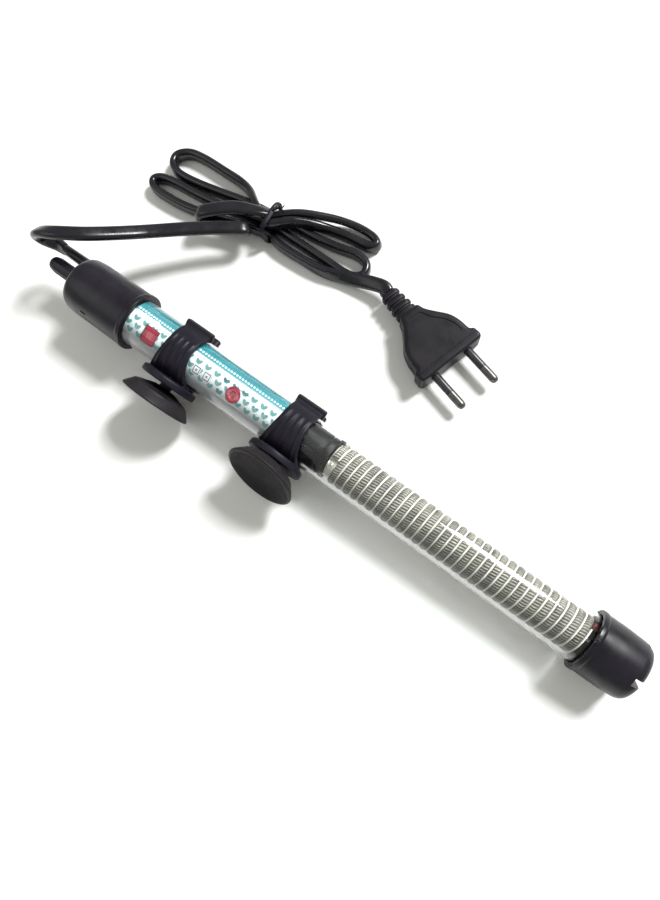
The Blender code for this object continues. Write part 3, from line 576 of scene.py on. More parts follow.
# Each point: x, y, z, and how flat the cord lies there (1 flat, 0 on its edge)
CORD_ROUTE = [
    # up and round, then down towards the hank as a flat ribbon
    (-157.5, 15.5, 22.1, 0.3), (-161.3, 13.7, 25.1, 0.7), (-161.9, 13.0, 29.9, 1), (-157.6, 13.9, 34.2, 1),
    (-149.8, 17.0, 36.2, 1), (-139.5, 24.6, 33.9, 1), (-130.9, 35.2, 27.7, 1), (-123.5, 45.1, 22.1, 1),
    (-114.0, 54.5, 19.4, 1), (-103.8, 63.6, 17.2, 1), (-95.8, 69.8, 15.9, 1), (-91.8, 72.7, 15.1, 1),
    # folded under itself, back, and over again into the tie
    (-91.3, 74.2, 13.0, 1), (-94.6, 74.6, 10.0, 1), (-100.6, 73.0, 9.0, 1), (-107.9, 70.6, 9.2, 1),
    (-113.5, 69.1, 9.8, 1), (-116.1, 68.4, 10.9, 1), (-115.7, 68.2, 13.2, 1), (-113.5, 69.3, 15.2, 1),
    (-109.1, 73.2, 15.6, 1), (-101.9, 79.2, 15.2, 0.9), (-93.1, 83.4, 14.2, 0.55), (-86.4, 88.3, 10.8, 0.1),
    # first right loop
    (-82.8, 90.9, 10.2, 0.1), (-76.5, 96.0, 9.3, 0.2), (-69.3, 100.5, 7.8, 0.35), (-60.0, 105.4, 5.6, 0.4),
    (-50.2, 108.0, 4.2, 0.3), (-41.9, 107.9, 3.6, 0.1), (-38.2, 105.2, 3.6, 0), (-41.3, 102.2, 3.6, 0),
    (-51.2, 101.2, 3.6, 0), (-61.4, 99.0, 4.6, 0), (-70.0, 94.8, 7.8, 0), (-77.2, 89.9, 10.2, 0.1),
    (-85.4, 83.2, 10.4, 0.1),
    # first left loop
    (-91.6, 85.6, 8.9, 0), (-98.4, 88.8, 8.5, 0), (-105.7, 93.6, 5.6, 0), (-114.1, 96.2, 3.7, 0),
    (-126.1, 96.6, 3.5, 0), (-137.6, 96.7, 3.5, 0), (-146.6, 95.3, 3.5, 0), (-151.7, 90.6, 3.5, 0),
    (-150.0, 85.3, 3.5, 0), (-143.4, 83.0, 3.5, 0), (-131.9, 83.9, 3.5, 0), (-118.5, 86.3, 3.5, 0),
    (-103.2, 89.1, 3.7, 0), (-86.7, 90.8, 3.6, 0),
    # second right loop
    (-76.3, 91.6, 3.7, 0), (-64.7, 92.2, 3.5, 0), (-53.1, 93.8, 3.5, 0), (-43.4, 95.8, 3.5, 0),
    (-36.5, 94.3, 3.5, 0), (-34.5, 89.2, 3.5, 0), (-38.4, 85.4, 3.5, 0), (-46.5, 84.9, 3.5, 0),
    (-57.9, 85.3, 3.5, 0), (-72.4, 85.5, 3.6, 0), (-85.8, 85.8, 3.6, 0),
    # second left loop
    (-103.2, 82.8, 3.6, 0), (-116.6, 80.2, 3.5, 0), (-129.9, 78.7, 3.5, 0), (-141.4, 78.0, 3.5, 0),
    (-149.7, 76.6, 3.5, 0), (-153.1, 73.3, 3.5, 0), (-150.1, 70.0, 3.5, 0), (-141.4, 69.5, 3.5, 0),
    (-129.9, 70.3, 3.5, 0), (-118.5, 72.7, 3.5, 0), (-105.1, 76.1, 3.5, 0), (-95.5, 78.9, 3.9, 0),
    (-84.9, 80.8, 3.6, 0),
    # out to the plug
    (-76.3, 79.4, 3.5, 0), (-64.7, 79.4, 3.5, 0), (-51.1, 80.3, 3.5, 0.4), (-37.6, 84.3, 4.6, 0.9),
]
SLOW_TWIST = 60  # the first points out of the boot, where the cord twists more slowly
TIE_AT = (-85.9, 85.7)
TIE_TURN = math.radians(10.6)
PLUG_LENGTH = 30.5
PLUG_RELIEF = 14.0
PLUG_FACE = 5.65  # how deep the sunk faces lie, from the plug's middle
PIN_SPACING = 18.6


def cord_line():
    """Points along a smooth curve through the route, each with its flatness as w."""
    out = -AXIS
    start = RIG @ (Vector((GLAND_END, CORD_Y, CORD_Z)) * MM) / MM
    back = PLUG_AXES.to_3x3() @ Vector((-1, 0, 0))
    end = PLUG_FRONT + back * (PLUG_LENGTH + PLUG_RELIEF)
    route = [(*(start + out * reach), 1.0) for reach in (0.5, 5.0)] + CORD_ROUTE
    route += [(*(end + back * reach), 1.0) for reach in (5.0, 0.5)]
    path = [Vector(p) for p in route]
    fine = []
    padded = [path[0] * 2 - path[1]] + path + [path[-1] * 2 - path[-2]]
    for a, b, c, d in zip(padded, padded[1:], padded[2:], padded[3:]):
        for i in range(12):
            t = i / 12
            bend = (2 * a - 5 * b + 4 * c - d) * t * t
            fine.append(0.5 * ((2 * b) + (c - a) * t + bend + (3 * b - a - 3 * c + d) * t ** 3))
    fine.append(path[-1])
    for __ in range(6):  # takes out small kinks, and leaves both ends
        eased = [(fine[i - 1] + fine[i] * 2 + fine[i + 1]) / 4 for i in range(2, len(fine) - 2)]
        fine = fine[:2] + eased + fine[-2:]
    return fine


def cord_frames(line):
    """Direction and width direction at each point.

    The width follows the bends, and eases towards the stated flatness where the cord is about level.
    """
    spots = [p.xyz for p in line]
    count = len(spots)
    ahead = [(spots[min(i + 1, count - 1)] - spots[max(i - 1, 0)]).normalized() for i in range(count)]
    last = Vector((0, 0.35, 1))
    last = (last - ahead[0] * last.dot(ahead[0])).normalized()
    wide = [last]
    for i in range(1, count):
        last = ahead[i - 1].rotation_difference(ahead[i]) @ last
        level = max(0.0, 1 - abs(ahead[i].z) / 0.8)
        if level > 0.05:
            flat = ahead[i].cross(Vector((0, 0, 1))).normalized()
            upright = flat.cross(ahead[i])
            lean = max(0.0, min(1.0, line[i].w)) * math.pi / 2
            up, side = upright * math.cos(lean), flat * math.sin(lean)
            wanted = min((-up - side, side - up, up - side, up + side), key=lambda v: (v - last).length)
            last = last.lerp(wanted, (0.05 if i < SLOW_TWIST else 0.1) * level)
        last = (last - ahead[i] * last.dot(ahead[i])).normalized()
        wide.append(last)
    return spots, ahead, wide


def cord_section():
    """Two cores side by side in one sheath, as (across, through) points with a shallow groove."""
    count = 24
    half, core = CORD_WIDTH / 2, CORD_THICK / 2
    offset = half - core
    made = []
    for k in range(count):
        angle = 2 * math.pi * (k + 0.5) / count
        c, s = math.cos(angle), math.sin(angle)
        across = offset * math.tanh(3 * c) + core * c
        through = core * s * (1 - 0.12 * math.exp(-(across / 0.8) ** 2))
        made.append((across, through))
    return made


def make_cord():
    line = cord_line()
    spots, ahead, wide = cord_frames(line)
    section = cord_section()
    rings = []
    for spot, forward, width in zip(spots, ahead, wide):
        depth = forward.cross(width)
        rings.append([spot + width * a + depth * b for a, b in section])
    cord = loft("cord_flat", rings, None)
    finish_piece(cord, CORD, "cord", 60)
    length = sum((b - a).length for a, b in zip(spots, spots[1:])) * MM
    return cord, spots, length


TIE_SECTION = ((-1, -0.22), (-0.7, 0.0), (-0.25, 0.05), (0, 0.28), (0.25, 0.05), (0.7, 0.0), (1, -0.22),
               (0.5, -0.35), (-0.5, -0.35))


def make_twist_tie():
    """A loop of plastic-covered wire round the hank, with its two ends twisted together."""
    place = Matrix.Translation(Vector((*TIE_AT, 0)) * MM) @ Matrix.Rotation(TIE_TURN, 4, "Z")
    rings = []
    count = 56
    for k in range(count + 1):
        angle = 2 * math.pi * k / count
        c, s = math.cos(angle), math.sin(angle)
        y = 8.9 * math.copysign(abs(c) ** 0.55, c)
        z = 7.7 + 7.3 * math.copysign(abs(s) ** 0.55, s)
        out = Vector((0, c / 8.9, s / 7.3)).normalized()
        lean = 0.6 * math.sin(angle * 2)
        rings.append([Vector((lean + a * 1.25, y, z)) + out * b for a, b in TIE_SECTION])
    loop = loft("tie_loop", rings, place, caps=False)
    ends = []
    for side in (-1, 1):
        tail = []
        for k in range(26):
            t = k / 25
            turn = side * math.pi / 2 + t * 9.0
            spread = 0.55 + (0.9 * max(0.0, t - 0.75) * 4)
            centre = Vector((0.8 + 5.0 * t, 3.2 + 1.2 * t, 15.3 + 1.3 * math.sin(t * 2.2)))
            centre += Vector((0, math.cos(turn), math.sin(turn))) * spread
            tail.append([centre + Vector((0, 0.5 * math.cos(a), 0.5 * math.sin(a))) for a in
                         (math.pi * n / 4 for n in range(8))])
        ends.append(loft("tie_end", tail, place))
    tie = joined("twist_tie_wire", [loop] + ends)
    return finish_piece(tie, CLIP, "twist_tie", 50)


def make_gland():
    """The flat boot where the cord leaves the top cap, tapering to the cord."""
    rings = []
    stations = [(GLAND_START, 2.5, 3.9), (-141.4, 2.6, 4.0), (-142.2, 2.6, 4.0), (-142.6, 2.5, 3.9),
                (-150.0, 2.35, 3.75), (GLAND_END + 0.6, 2.25, 3.62), (GLAND_END, 2.08, 3.45)]
    for x, half_y, half_z in stations:
        rings.append([(x, CORD_Y + y, CORD_Z + z) for y, z in oval(half_y, half_z, 0.8)])
    boot = loft("cord_boot", rings, RIG)
    return finish_piece(boot, CAP, "cord_gland", 30)


CORD_PIECE, CORD_SPOTS, CORD_LENGTH = make_cord()
TIE_PIECE = make_twist_tie()
GLAND_PIECE = make_gland()


# Plug


def plug_half_outline():
    """(x, y) points on one side of the plug's body, from the cord's end to the front."""
    back = -PLUG_LENGTH
    return [(back, 5.3), (back + 3.5, 6.0), (back + 8.5, 9.6), (back + 13, 13.2), (back + 18, 14.8),
            (back + 24.0, 15.2), (back + 25.0, 17.2), (0.0, 17.2)]


def mirrored(half):
    return [tuple(p) for p in half] + [(x, -y) for x, y in reversed(half)]


def make_plug():
    radii = [1.5, 3, 5, 5, 5, 1.0, 1.2, 2.0]
    outline = mirrored(plug_half_outline())
    outline = [(p.x, p.y) for p in rounded(outline, radii + radii[::-1], 4, closed=True)]
    shell = slab("plug_shell", outline, -6.0, 6.0, PLUG_AXES, 1.9, 5)
    bar = box_piece("plug_bar", (4.6, 34.4, 12.15), (-2.35, 0, 0), PLUG_AXES, 1.2)
    body = joined("plug_moulding", [shell, bar])
    melted(body, 0.32, 4, 0.55)
    inner = [(-26.5, 3.6), (-22.0, 5.2), (-16.5, 9.8), (-12.0, 11.8), (-7.6, 12.2)]
    inner = [(p.x, p.y) for p in rounded(mirrored(inner), 1.6, 4, closed=True)]
    tools = [slab("recess", inner, low, low + 3, PLUG_AXES) for low in (-PLUG_FACE - 3, PLUG_FACE)]
    for y in (-PIN_SPACING / 2, PIN_SPACING / 2):
        tools.append(turned("pin_bore", [(2, 0), (2, 2.35), (-5.9, 2.35), (-5.9, 0)],
                            PLUG_AXES @ Matrix.Translation(Vector((0, y, 0)) * MM), 24, closed=False))
    cut(body, tools)
    return finish_piece(body, PLUG, "plug_body", 32)


def make_pins():
    made = []
    for number, y in ((1, -PIN_SPACING / 2), (2, PIN_SPACING / 2)):
        place = PLUG_AXES @ Matrix.Translation(Vector((0, y, 0)) * MM)
        shaft = [(19.0, 0.0), (18.95, 0.9), (18.4, 1.6), (17.3, 1.95), (16.4, 2.0), (10.3, 2.0), (10.3, 1.25),
                 (-5.6, 1.2), (-5.6, 0)]
        pin = turned("pin_%d" % number, shaft, place, 32, closed=False)
        made.append(finish_piece(pin, PIN_METAL, "plug_pin_%d" % number))
        sleeve = rounded([(10.05, 1.5), (10.05, 1.98), (-5.4, 1.98), (-5.4, 1.5)], 0.15, 2, closed=True)
        piece = turned("sleeve_%d" % number, sleeve, place, 32)
        made.append(finish_piece(piece, INSULATION, "pin_sleeve_%d" % number))
    return made


def make_relief():
    """Three stepped ribs where the cord enters the plug."""
    start = -PLUG_LENGTH - 0.3
    stations = [(start, 5.2, 3.5), (start - 1.6, 5.2, 3.5)]
    for k in range(3):
        x = start - 2.2 - 3.7 * k
        wide = 5.15 - 0.3 * k
        tall = 3.55 - 0.15 * k
        stations += [(x, wide - 0.9, tall - 0.8), (x - 1.0, wide - 0.9, tall - 0.8)]
        stations += [(x - 1.15, wide - 0.1, tall - 0.05), (x - 1.4, wide, tall)]
        stations += [(x - 2.7, wide - 0.05, tall), (x - 2.95, wide - 0.25, tall - 0.15)]
    stations += [(start - 13.4, 3.75, 2.5), (start - 13.7, 3.5, 2.2)]
    rings = [[(x, y, z) for y, z in oval(wide, tall, 0.62)] for x, wide, tall in stations]
    relief = loft("plug_boot", rings, PLUG_AXES)
    return finish_piece(relief, PLUG, "plug_strain_relief", 32)


PLUG_PIECES = [make_plug(), make_relief()] + make_pins()


# Caps, knob and tube

TUBE_R = 11.0
TUBE_BORE = 10.0
DOME_X = 127.5


def make_top_cap():
    outer = [(-105.5, 11.3), (-105.5, 13.75), (-107.6, 13.75), (-108.2, 13.45), (-126.0, 13.35),
             (-134.0, 13.3), (-141.4, 12.6), (-141.4, 4.6), (-140.6, 4.2), (-140.6, 2.6), (-138.0, 2.6),
             (-138.0, 10.4), (-128.3, 11.3)]
    radii = [0.1, 0.5, 0.4, 0.4, 2, 2, 5.0, 0.4, 0.3, 0.2, 0.2, 0.5, 0.2]
    cap = turned("top_cap_moulding", rounded(outer, radii, 6, closed=True), RIG, 96)
    tools = []
    slot = oval(1.7, 0.55, 0.9, 20)
    for turn in (-62, 118):
        angle = math.radians(turn)
        place = RIG @ Matrix.Rotation(-angle, 4, "X") @ Matrix.Translation(Vector((-127.0, 0, 13.6)) * MM)
        tools.append(slab("cap_slot", slot, -0.8, 1.0, place))
    passage = [(-144.0, CORD_Y + y, CORD_Z + z) for y, z in oval(2.95, 4.45, 0.72)]
    inner = [(-137.0, y, z) for __, y, z in passage]
    tools.append(loft("cord_passage", [passage, inner], RIG))
    cut(cap, tools)
    return finish_piece(cap, CAP, "top_cap", 30)


def make_foot_cap():
    outer = [(147.0, 3.2), (147.0, 12.2), (135.0, 12.95), (126.4, 12.95), (125.8, 13.3), (124.0, 13.3),
             (124.0, 11.3), (141.6, 11.3), (144.6, 8.0), (144.6, 3.2)]
    radii = [0.4, 4.6, 2, 0.3, 0.4, 0.4, 0.2, 0.5, 0.5, 0.4]
    cap = turned("foot_cap_moulding", rounded(outer, radii, 6, closed=True), RIG, 96)
    tools = []
    for turn in (20, 110):
        place = RIG @ Matrix.Translation(Vector((147.5, 0, 0)) * MM)
        place = place @ Matrix.Rotation(math.radians(turn), 4, "X")
        tools.append(box_piece("foot_slot", (9.0, 40.0, 3.2), (0, 0, 0), place, 0.0))
    cut(cap, tools)
    nib = box_piece("foot_nib", (1.6, 2.4, 1.2), (125.0, 0, 13.2), RIG, 0.3)
    cap = joined("foot_cap_moulding", [cap, nib])
    return finish_piece(cap, CAP, "foot_cap", 30)


def make_knob():
    outline = [(-141.9, 0.0), (-141.9, 3.2), (-142.6, 3.7), (-156.0, 3.8), (-159.5, 3.0), (-159.5, 0.0)]
    outline = rounded(outline, [0, 0.3, 0.8, 1.0, 2.6, 0], 6)

    def flutes(along, angle):
        at_tip = max(0.0, min(1.0, (along + 158.0) / 2.0))
        at_base = max(0.0, min(1.0, (-142.6 - along) / 1.5))
        return -(0.16 * at_tip * at_base) * (0.5 - 0.5 * math.cos(14 * angle))

    fine = []
    for a, b in zip(outline, outline[1:]):
        parts = max(1, int(abs(b.x - a.x) / 0.8))
        fine += [a.lerp(b, k / parts) for k in range(parts)]
    knob = turned("knob_moulding", fine + [outline[-1]], RIG, 112, closed=False, wave=flutes)
    return finish_piece(knob, CAP, "knob", 40)


def dome_arc(radius):
    """A quarter circle at the tube's closed end, from its pole to its wall."""
    angles = [math.radians(90 - 7.5 * k) for k in range(13)]
    arc = [(DOME_X + radius * math.sin(a), radius * math.cos(a)) for a in angles]
    arc[0] = (DOME_X + radius, 0.0)
    return arc


def make_tube():
    rim = [(-127.6, TUBE_R), (-128.0, 10.7), (-128.0, 10.3), (-127.6, TUBE_BORE)]
    outer = dome_arc(TUBE_R) + [(x, TUBE_R) for x in (60.0, 0.0, -60.0)]
    inner = [(x, TUBE_BORE) for x in (-60.0, 0.0, 60.0)] + dome_arc(TUBE_BORE)[::-1]
    tube = turned("tube_blown", outer + rim + inner, RIG, 128, closed=False)
    return finish_piece(tube, GLASS, "glass_tube", 50)


make_top_cap()
make_foot_cap()
make_knob()
make_tube()


# Label, lamp lens and pointer

LABEL_R = 9.62
LABEL_ENDS = (-110.5, -14.0)
FILM_THICK = 0.2
LAMP_X = -93.0
LAMP_HALF = 3.8
POINTER_X = -46.8
POINTER_HALF = 6.9
POINTER_FILM_R = 9.25
WINDOW_TURN = math.radians(-20)
WINDOW_HALF = 3.75


def thickened(film):
    """Gives a sheet the thickness of the printed film."""
    thick = film.modifiers.new("film", "SOLIDIFY")
    thick.thickness = FILM_THICK * MM
    thick.offset = 0
    return evaluated(film)


def make_label():
    """The printed film, with its two windows left out of the sheet."""
    half = WINDOW_HALF / LABEL_R
    windows = (LAMP_X - LAMP_HALF, LAMP_X + LAMP_HALF, POINTER_X - POINTER_HALF, POINTER_X + POINTER_HALF)
    marks_x = [LABEL_ENDS[0], *windows, LABEL_ENDS[1]]
    marks_turn = [WINDOW_TURN - half, WINDOW_TURN + half, WINDOW_TURN - half + 2 * math.pi]
    columns, rows = [marks_x[0]], [marks_turn[0]]
    for a, b in zip(marks_x, marks_x[1:]):
        parts = max(2, int((b - a) / 3))
        columns += [a + (b - a) * (k + 1) / parts for k in range(parts)]
    for a, b in zip(marks_turn, marks_turn[1:]):
        parts = max(8, int((b - a) / 0.09))
        rows += [a + (b - a) * (k + 1) / parts for k in range(parts)]
    rows = rows[:-1]
    points = [(x, LABEL_R * math.sin(t), LABEL_R * math.cos(t)) for t in rows for x in columns]
    wide = len(columns)
    faces, marks = [], []
    for r in range(len(rows)):
        after = (r + 1) % len(rows)
        turn = rows[r] + (0.5 * (rows[after] - rows[r]) if after else 0.01)
        for c in range(wide - 1):
            x = (columns[c] + columns[c + 1]) / 2
            in_turn = abs(turn - WINDOW_TURN) < half
            if in_turn and (abs(x - LAMP_X) < LAMP_HALF or abs(x - POINTER_X) < POINTER_HALF):
                continue
            faces.append((r * wide + c, r * wide + c + 1, after * wide + c + 1, after * wide + c))
            above = rows[after] if after else rows[0] + 2 * math.pi
            back = 2 * math.pi if above > math.pi else 0.0
            u0, u1 = columns[c] / 100, columns[c + 1] / 100
            v0, v1 = ((t - back) * LABEL_R / 100 for t in (rows[r], above))
            marks.append(((u0, v0), (u1, v0), (u1, v1), (u0, v1)))
    mesh = bpy.data.meshes.new("label_film")
    mesh.from_pydata([Vector(p) * MM for p in points], [], faces)
    write_uv(mesh, "print", marks)
    film = thickened(add_object("label_film", mesh, RIG))
    return finish_piece(film, LABEL, "label_sleeve", 50)


def window_place(x, radius):
    """The frame of a window's middle, with Z pointing out of the tube."""
    turn = Matrix.Rotation(-WINDOW_TURN, 4, "X")
    return RIG @ turn @ Matrix.Translation(Vector((x, 0, radius)) * MM)


def make_lens():
    place = window_place(LAMP_X, 8.75)
    lens = box_piece("lamp_lens_cover", (6.9, 6.9, 1.3), (0, 0, 0), place, 0.35)
    finish_piece(lens, RED, "lamp_lens")
    pad = box_piece("lamp_lens_pad", (3.0, 3.0, 0.2), (0, 0, 0.68), place, 0.08)
    finish_piece(pad, RED_LIGHT, "lamp_lens", extra=None)


def make_pointer():
    place = window_place(POINTER_X, 8.85) @ Matrix.Rotation(math.radians(-90), 4, "Y")
    outline = [(0.30, 0.0), (0.30, 0.55), (0.02, 0.75), (0.02, 1.5), (0.28, 1.75), (0.32, 3.1), (0.1, 3.45),
               (-0.25, 3.45), (-0.25, 0.0)]
    disc = turned("pointer_button", outline, place, 48, closed=False)
    finish_piece(disc, RED, "pointer_disc", 25)
    outline = [(0.16, 1.75), (0.2, 1.85), (0.2, 2.35), (0.16, 2.45), (0.0, 2.45), (0.0, 1.75)]
    ring = turned("pointer_ring", outline, place @ Matrix.Translation((0.22 * MM, 0, 0)), 48)
    finish_piece(ring, RED_LIGHT, "pointer_disc", extra=None)
    make_pointer_film()


def make_pointer_film():
    """The curved strip just under the label, with a round hole where the disc stands."""
    columns, rows, radius, hole = 60, 26, POINTER_FILM_R, 3.6
    reach, reach_turn = 11, 0.47
    spots = []
    for c in range(columns + 1):
        x = POINTER_X - reach + 2 * reach * c / columns
        for r in range(rows + 1):
            spots.append((x, WINDOW_TURN + reach_turn * (2 * r / rows - 1)))
    points = [(x, radius * math.sin(t), radius * math.cos(t)) for x, t in spots]
    faces = []
    for c in range(columns):
        for r in range(rows):
            a = c * (rows + 1) + r
            x, turn = (spots[a][k] + spots[a + rows + 2][k] for k in (0, 1))
            if math.hypot(x / 2 - POINTER_X, (turn / 2 - WINDOW_TURN) * radius) > hole:
                faces.append((a, a + rows + 1, a + rows + 2, a + 1))
    plate = mesh_from("pointer_film", points, faces, RIG)
    layer = plate.data.uv_layers.new(name="print")
    for loop in plate.data.loops:
        x, turn = spots[loop.vertex_index]
        layer.data[loop.index].uv = (x / 100, turn * LABEL_R / 100)
    thickened(plate)
    finish_piece(plate, LABEL, "pointer_plate", 50)


make_label()
make_lens()
make_pointer()


# Heating element


def make_holder():
    outer = [(1.8, 3.0), (1.8, 8.5), (-1.0, 8.7), (-1.4, 8.35), (-2.0, 8.35), (-2.4, 8.7), (-12.6, 8.7),
             (-13.0, 8.3), (-13.0, 6.4), (-1.2, 6.4), (-1.2, 3.0)]
    holder = turned("holder_moulding", rounded(outer, 0.3, 3, closed=True), RIG, 72)
    nubs = [box_piece("nub", (2.6, 1.6, 2.2), (2.2, side * 8.3, 0.8), RIG, 0.4) for side in (-1, 1)]
    holder = joined("holder_moulding", [holder] + nubs)
    return finish_piece(holder, HOLDER, "inner_holder", 30)


COIL_START = 4.34
COIL_TURNS = 30.4
COIL_PITCH = 3.86
COIL_R = 7.85


def make_core():
    """A grooved ceramic rod: the heating wire lies in its groove, and the ridge stands between the turns."""
    rod = rounded([(122.0, 1.6), (122.0, 6.7), (2.4, 6.7), (2.4, 1.6)], 0.5, 3, closed=True)
    core = turned("ceramic_rod", rod, RIG, 64)
    steps = 32
    rings = []
    for k in range(int((COIL_TURNS - 0.3) * steps)):
        turn = 2 * math.pi * k / steps
        x = COIL_START + COIL_PITCH * (k / steps + 0.5)
        profile = [(-0.4, 6.5), (-0.34, 8.0), (-0.27, 8.5), (0.0, 8.62), (0.27, 8.5), (0.34, 8.0), (0.4, 6.5)]
        rings.append([(x + dx, r * math.sin(turn), r * math.cos(turn)) for dx, r in profile])
    ridge = loft("ceramic_ridge", rings, RIG)
    core = joined("ceramic_rod", [core, ridge])
    return finish_piece(core, CERAMIC, "ceramic_core", 40)


def make_coil():
    steps, sides, fine = 40, 12, 46.0
    count = int(COIL_TURNS * steps)
    points, faces, marks = [], [], []
    for k in range(count + 1):
        turn = 2 * math.pi * k / steps
        out = Vector((0, math.sin(turn), math.cos(turn)))
        centre = Vector((COIL_START + COIL_PITCH * k / steps, 0, 0)) + out * COIL_R
        for n in range(sides):
            angle = 2 * math.pi * n / sides
            points.append(centre + Vector((math.cos(angle) * 1.52, 0, 0)) + out * math.sin(angle) * 0.9)
    for k in range(count):
        for n in range(sides):
            m = (n + 1) % sides
            faces.append((k * sides + n, k * sides + m, (k + 1) * sides + m, (k + 1) * sides + n))
            u0, u1 = k * fine / steps, (k + 1) * fine / steps
            v0, v1 = n / sides, (n + 1) / sides
            marks.append(((u0, v0), (u0, v1), (u1, v1), (u1, v0)))
    mesh = bpy.data.meshes.new("coil_spiral")
    mesh.from_pydata([p * MM for p in points], [], faces)
    write_uv(mesh, "winding", marks)
    coil = add_object("coil_spiral", mesh, RIG)
    return finish_piece(coil, COIL, "heating_coil", 60)


make_holder()
make_core()
make_coil()


# Clips and cups

BAND_BORE = 11.35
BAND_R = 13.3
RIB_FOOT = 12.6  # the radius that the ribs grow from, inside the band


def band_half(turn):
    """Half the band's width, which is greatest at the disc and even past 105 degrees from it."""
    nearness = max(0.0, 1 - abs(turn) / math.radians(105))
    return 6.4 + 5.4 * nearness ** 1.6


def make_clip(number):
    place = CLIP_FRAMES[number]
    node = "clip_%d" % (number + 1)
    reach = math.pi - math.radians(22)
    rows, columns = 90, 9
    rings = []
    for i in range(rows):
        turn = -reach + 2 * reach * i / (rows - 1)
        half = band_half(turn)
        ring = []
        shares = [-1 + 2 * k / (columns - 1) for k in range(columns)]
        for radius, order in ((BAND_BORE, shares), (BAND_R, list(reversed(shares)))):
            ring += [(s * half, radius * math.sin(turn), radius * math.cos(turn)) for s in order]
        rings.append(ring)
    parts = [loft("band", rings, place)]
    for share in (-0.72, -0.24, 0.24, 0.72):
        for side in (-1, 1):
            rib = []
            for i in range(34):
                turn = side * math.radians(24 + 92 * i / 33)
                x = share * band_half(turn)
                rise = 0.62 * math.sin(math.pi * ((i + 1) / 34)) ** 0.5
                profile = ((-0.45, 0), (-0.35, 0.7 + rise), (0.35, 0.7 + rise), (0.45, 0))
                c, s = math.cos(turn), math.sin(turn)
                rib.append([(x + a, (RIB_FOOT + b) * s, (RIB_FOOT + b) * c) for a, b in profile])
            parts.append(loft("rib", rib, place))
    for side in (-1, 1):
        turn = side * (reach - 0.04)
        spot = place @ Matrix.Rotation(-turn, 4, "X")
        parts.append(box_piece("lip", (13.8 + 1.2 * side, 2.8, 4.0), (0, 0, 13.4), spot, 0.55))
    disc = [(SEAT, 0), (SEAT, 12.6), (SEAT - 0.35, 13.3), (SEAT - 3.0, 13.3), (SEAT - 3.5, 12.4),
            (SEAT - 3.5, 0)]
    parts.append(turned("disc", rounded(disc, 0.5, 3), place @ ALONG_Z, 72, closed=False))
    clip = joined(node + "_moulding", parts)
    melted(clip, 0.36, 3, 0.7)
    hole = [(18, 0), (18, 3.3), (8, 3.3), (8, 0)]
    recess = [(13.9, 0), (13.9, 4.9), (8.0, 4.9), (8.0, 0)]
    cut(clip, [turned("bore", outline, place @ ALONG_Z, 32, closed=False) for outline in (hole, recess)])
    return finish_piece(clip, CLIP, node, 45)


def make_cup(number):
    node = "cup_%d" % (number + 1)
    hollow = [(4.6, 0.0), (4.8, 3.5), (5.6, 8.0), (7.3, 12.0), (9.45, 14.9), (9.6, 15.2)]
    back = [(9.6, 15.9), (9.2, 16.5), (8.7, 16.45), (6.9, 15.1), (5.3, 13.8), (5.0, 13.6), (4.5, 13.3),
            (4.0, 12.2), (3.4, 10.4), (2.9, 8.6), (2.3, 7.0), (1.7, 5.0), (1.6, 3.4), (1.6, 0.0)]
    radii = [0, 1, 2, 2, 0.2, 0.1, 0.2, 0.2, 0.6, 1, 0.4, 0.3, 0.4, 0.6, 0.8, 0.6, 0.5, 0.4, 0.3, 0]
    outline = rounded(hollow + back, radii, 4)
    cup = turned("cup_shell", outline, CUP_FRAMES[number] @ ALONG_Z, 88, closed=False)
    stem = [(3.2, 0.0), (3.2, 2.9), (-2.2, 2.9), (-2.6, 4.3), (-4.0, 3.9), (-4.1, 0.0)]
    neck = turned("cup_stem", rounded(stem, 0.25, 2), STUD_FRAMES[number] @ ALONG_Z, 40, closed=False)
    cup = joined(node + "_moulding", [cup, neck])
    return finish_piece(cup, CUP, node, 40)


for index in range(2):
    make_clip(index)
    make_cup(index)


# Looks of the CAD pieces that stay

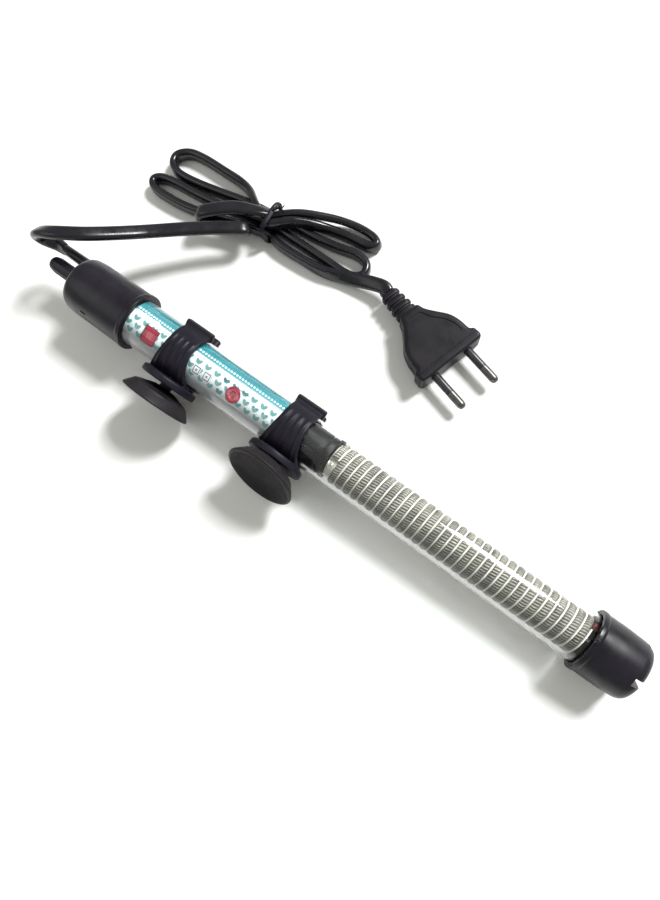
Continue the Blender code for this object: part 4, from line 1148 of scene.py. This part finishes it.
NODE_LOOKS = {
    BUNG: ("sealing_bung", "knob_oring"),
    STEEL: ("knob_shaft", "snap_magnet"),
    LAMP: ("neon_lamp",),
    TAN: ("lamp_resistor",),
    BLUE: ("spark_capacitor",),
    BAKELITE: ("thermostat_frame", "adjuster_block"),
    BRASS: ("contact_bracket", "hinge_post"),
    SILVER: ("fixed_contact", "moving_contact"),
    BIMETAL: ("bimetal_strip", "coil_lead"),
    SLEEVE: ("thermal_fuse",),
    INSULATED: ("return_wire", "live_wire", "neutral_wire"),
}
for look, names in NODE_LOOKS.items():
    for node_name in names:
        for slot_spot in frame["nodes"][node_name].material_slots:
            slot_spot.material = look


# Floor and light

FLOOR_HALF = 3.0
FLOOR_DROP = 0.0001  # keeps the floor clear of the lowest faces
LIGHT_AIM = Vector((0, 0.03, 0.02))


def make_floor():
    mesh = bpy.data.meshes.new("floor")
    corners = [(-FLOOR_HALF, -FLOOR_HALF), (FLOOR_HALF, -FLOOR_HALF), (FLOOR_HALF, FLOOR_HALF),
               (-FLOOR_HALF, FLOOR_HALF)]
    mesh.from_pydata([(x, y, -FLOOR_DROP) for x, y in corners], [], [(0, 1, 2, 3)])
    mesh.materials.append(make_floor_look())
    add_object("floor", mesh)


def make_light(name, spot, size, power):
    """A square area light, aimed at the heater's middle."""
    data = bpy.data.lights.new(name, "AREA")
    data.shape = "RECTANGLE"
    data.size = size
    data.size_y = size
    data.energy = power
    lamp = add_object(name, data)
    lamp.location = spot
    lamp.rotation_mode = "QUATERNION"
    lamp.rotation_quaternion = (LIGHT_AIM - Vector(spot)).to_track_quat("-Z", "Y")


def make_world():
    world = bpy.data.worlds.new("studio")
    world.use_nodes = True
    shade = world.node_tree.nodes["Background"]
    shade.inputs["Color"].default_value = (1.0, 0.995, 0.92, 1)
    shade.inputs["Strength"].default_value = 0.4
    bpy.context.scene.world = world
    bpy.context.scene.view_settings.view_transform = "Standard"


make_floor()
make_light("key", (0.5, 1.67, 1.88), 0.58, 88.0)
make_light("fill", (-0.7, -0.5, 0.9), 0.8, 2.0)
make_world()
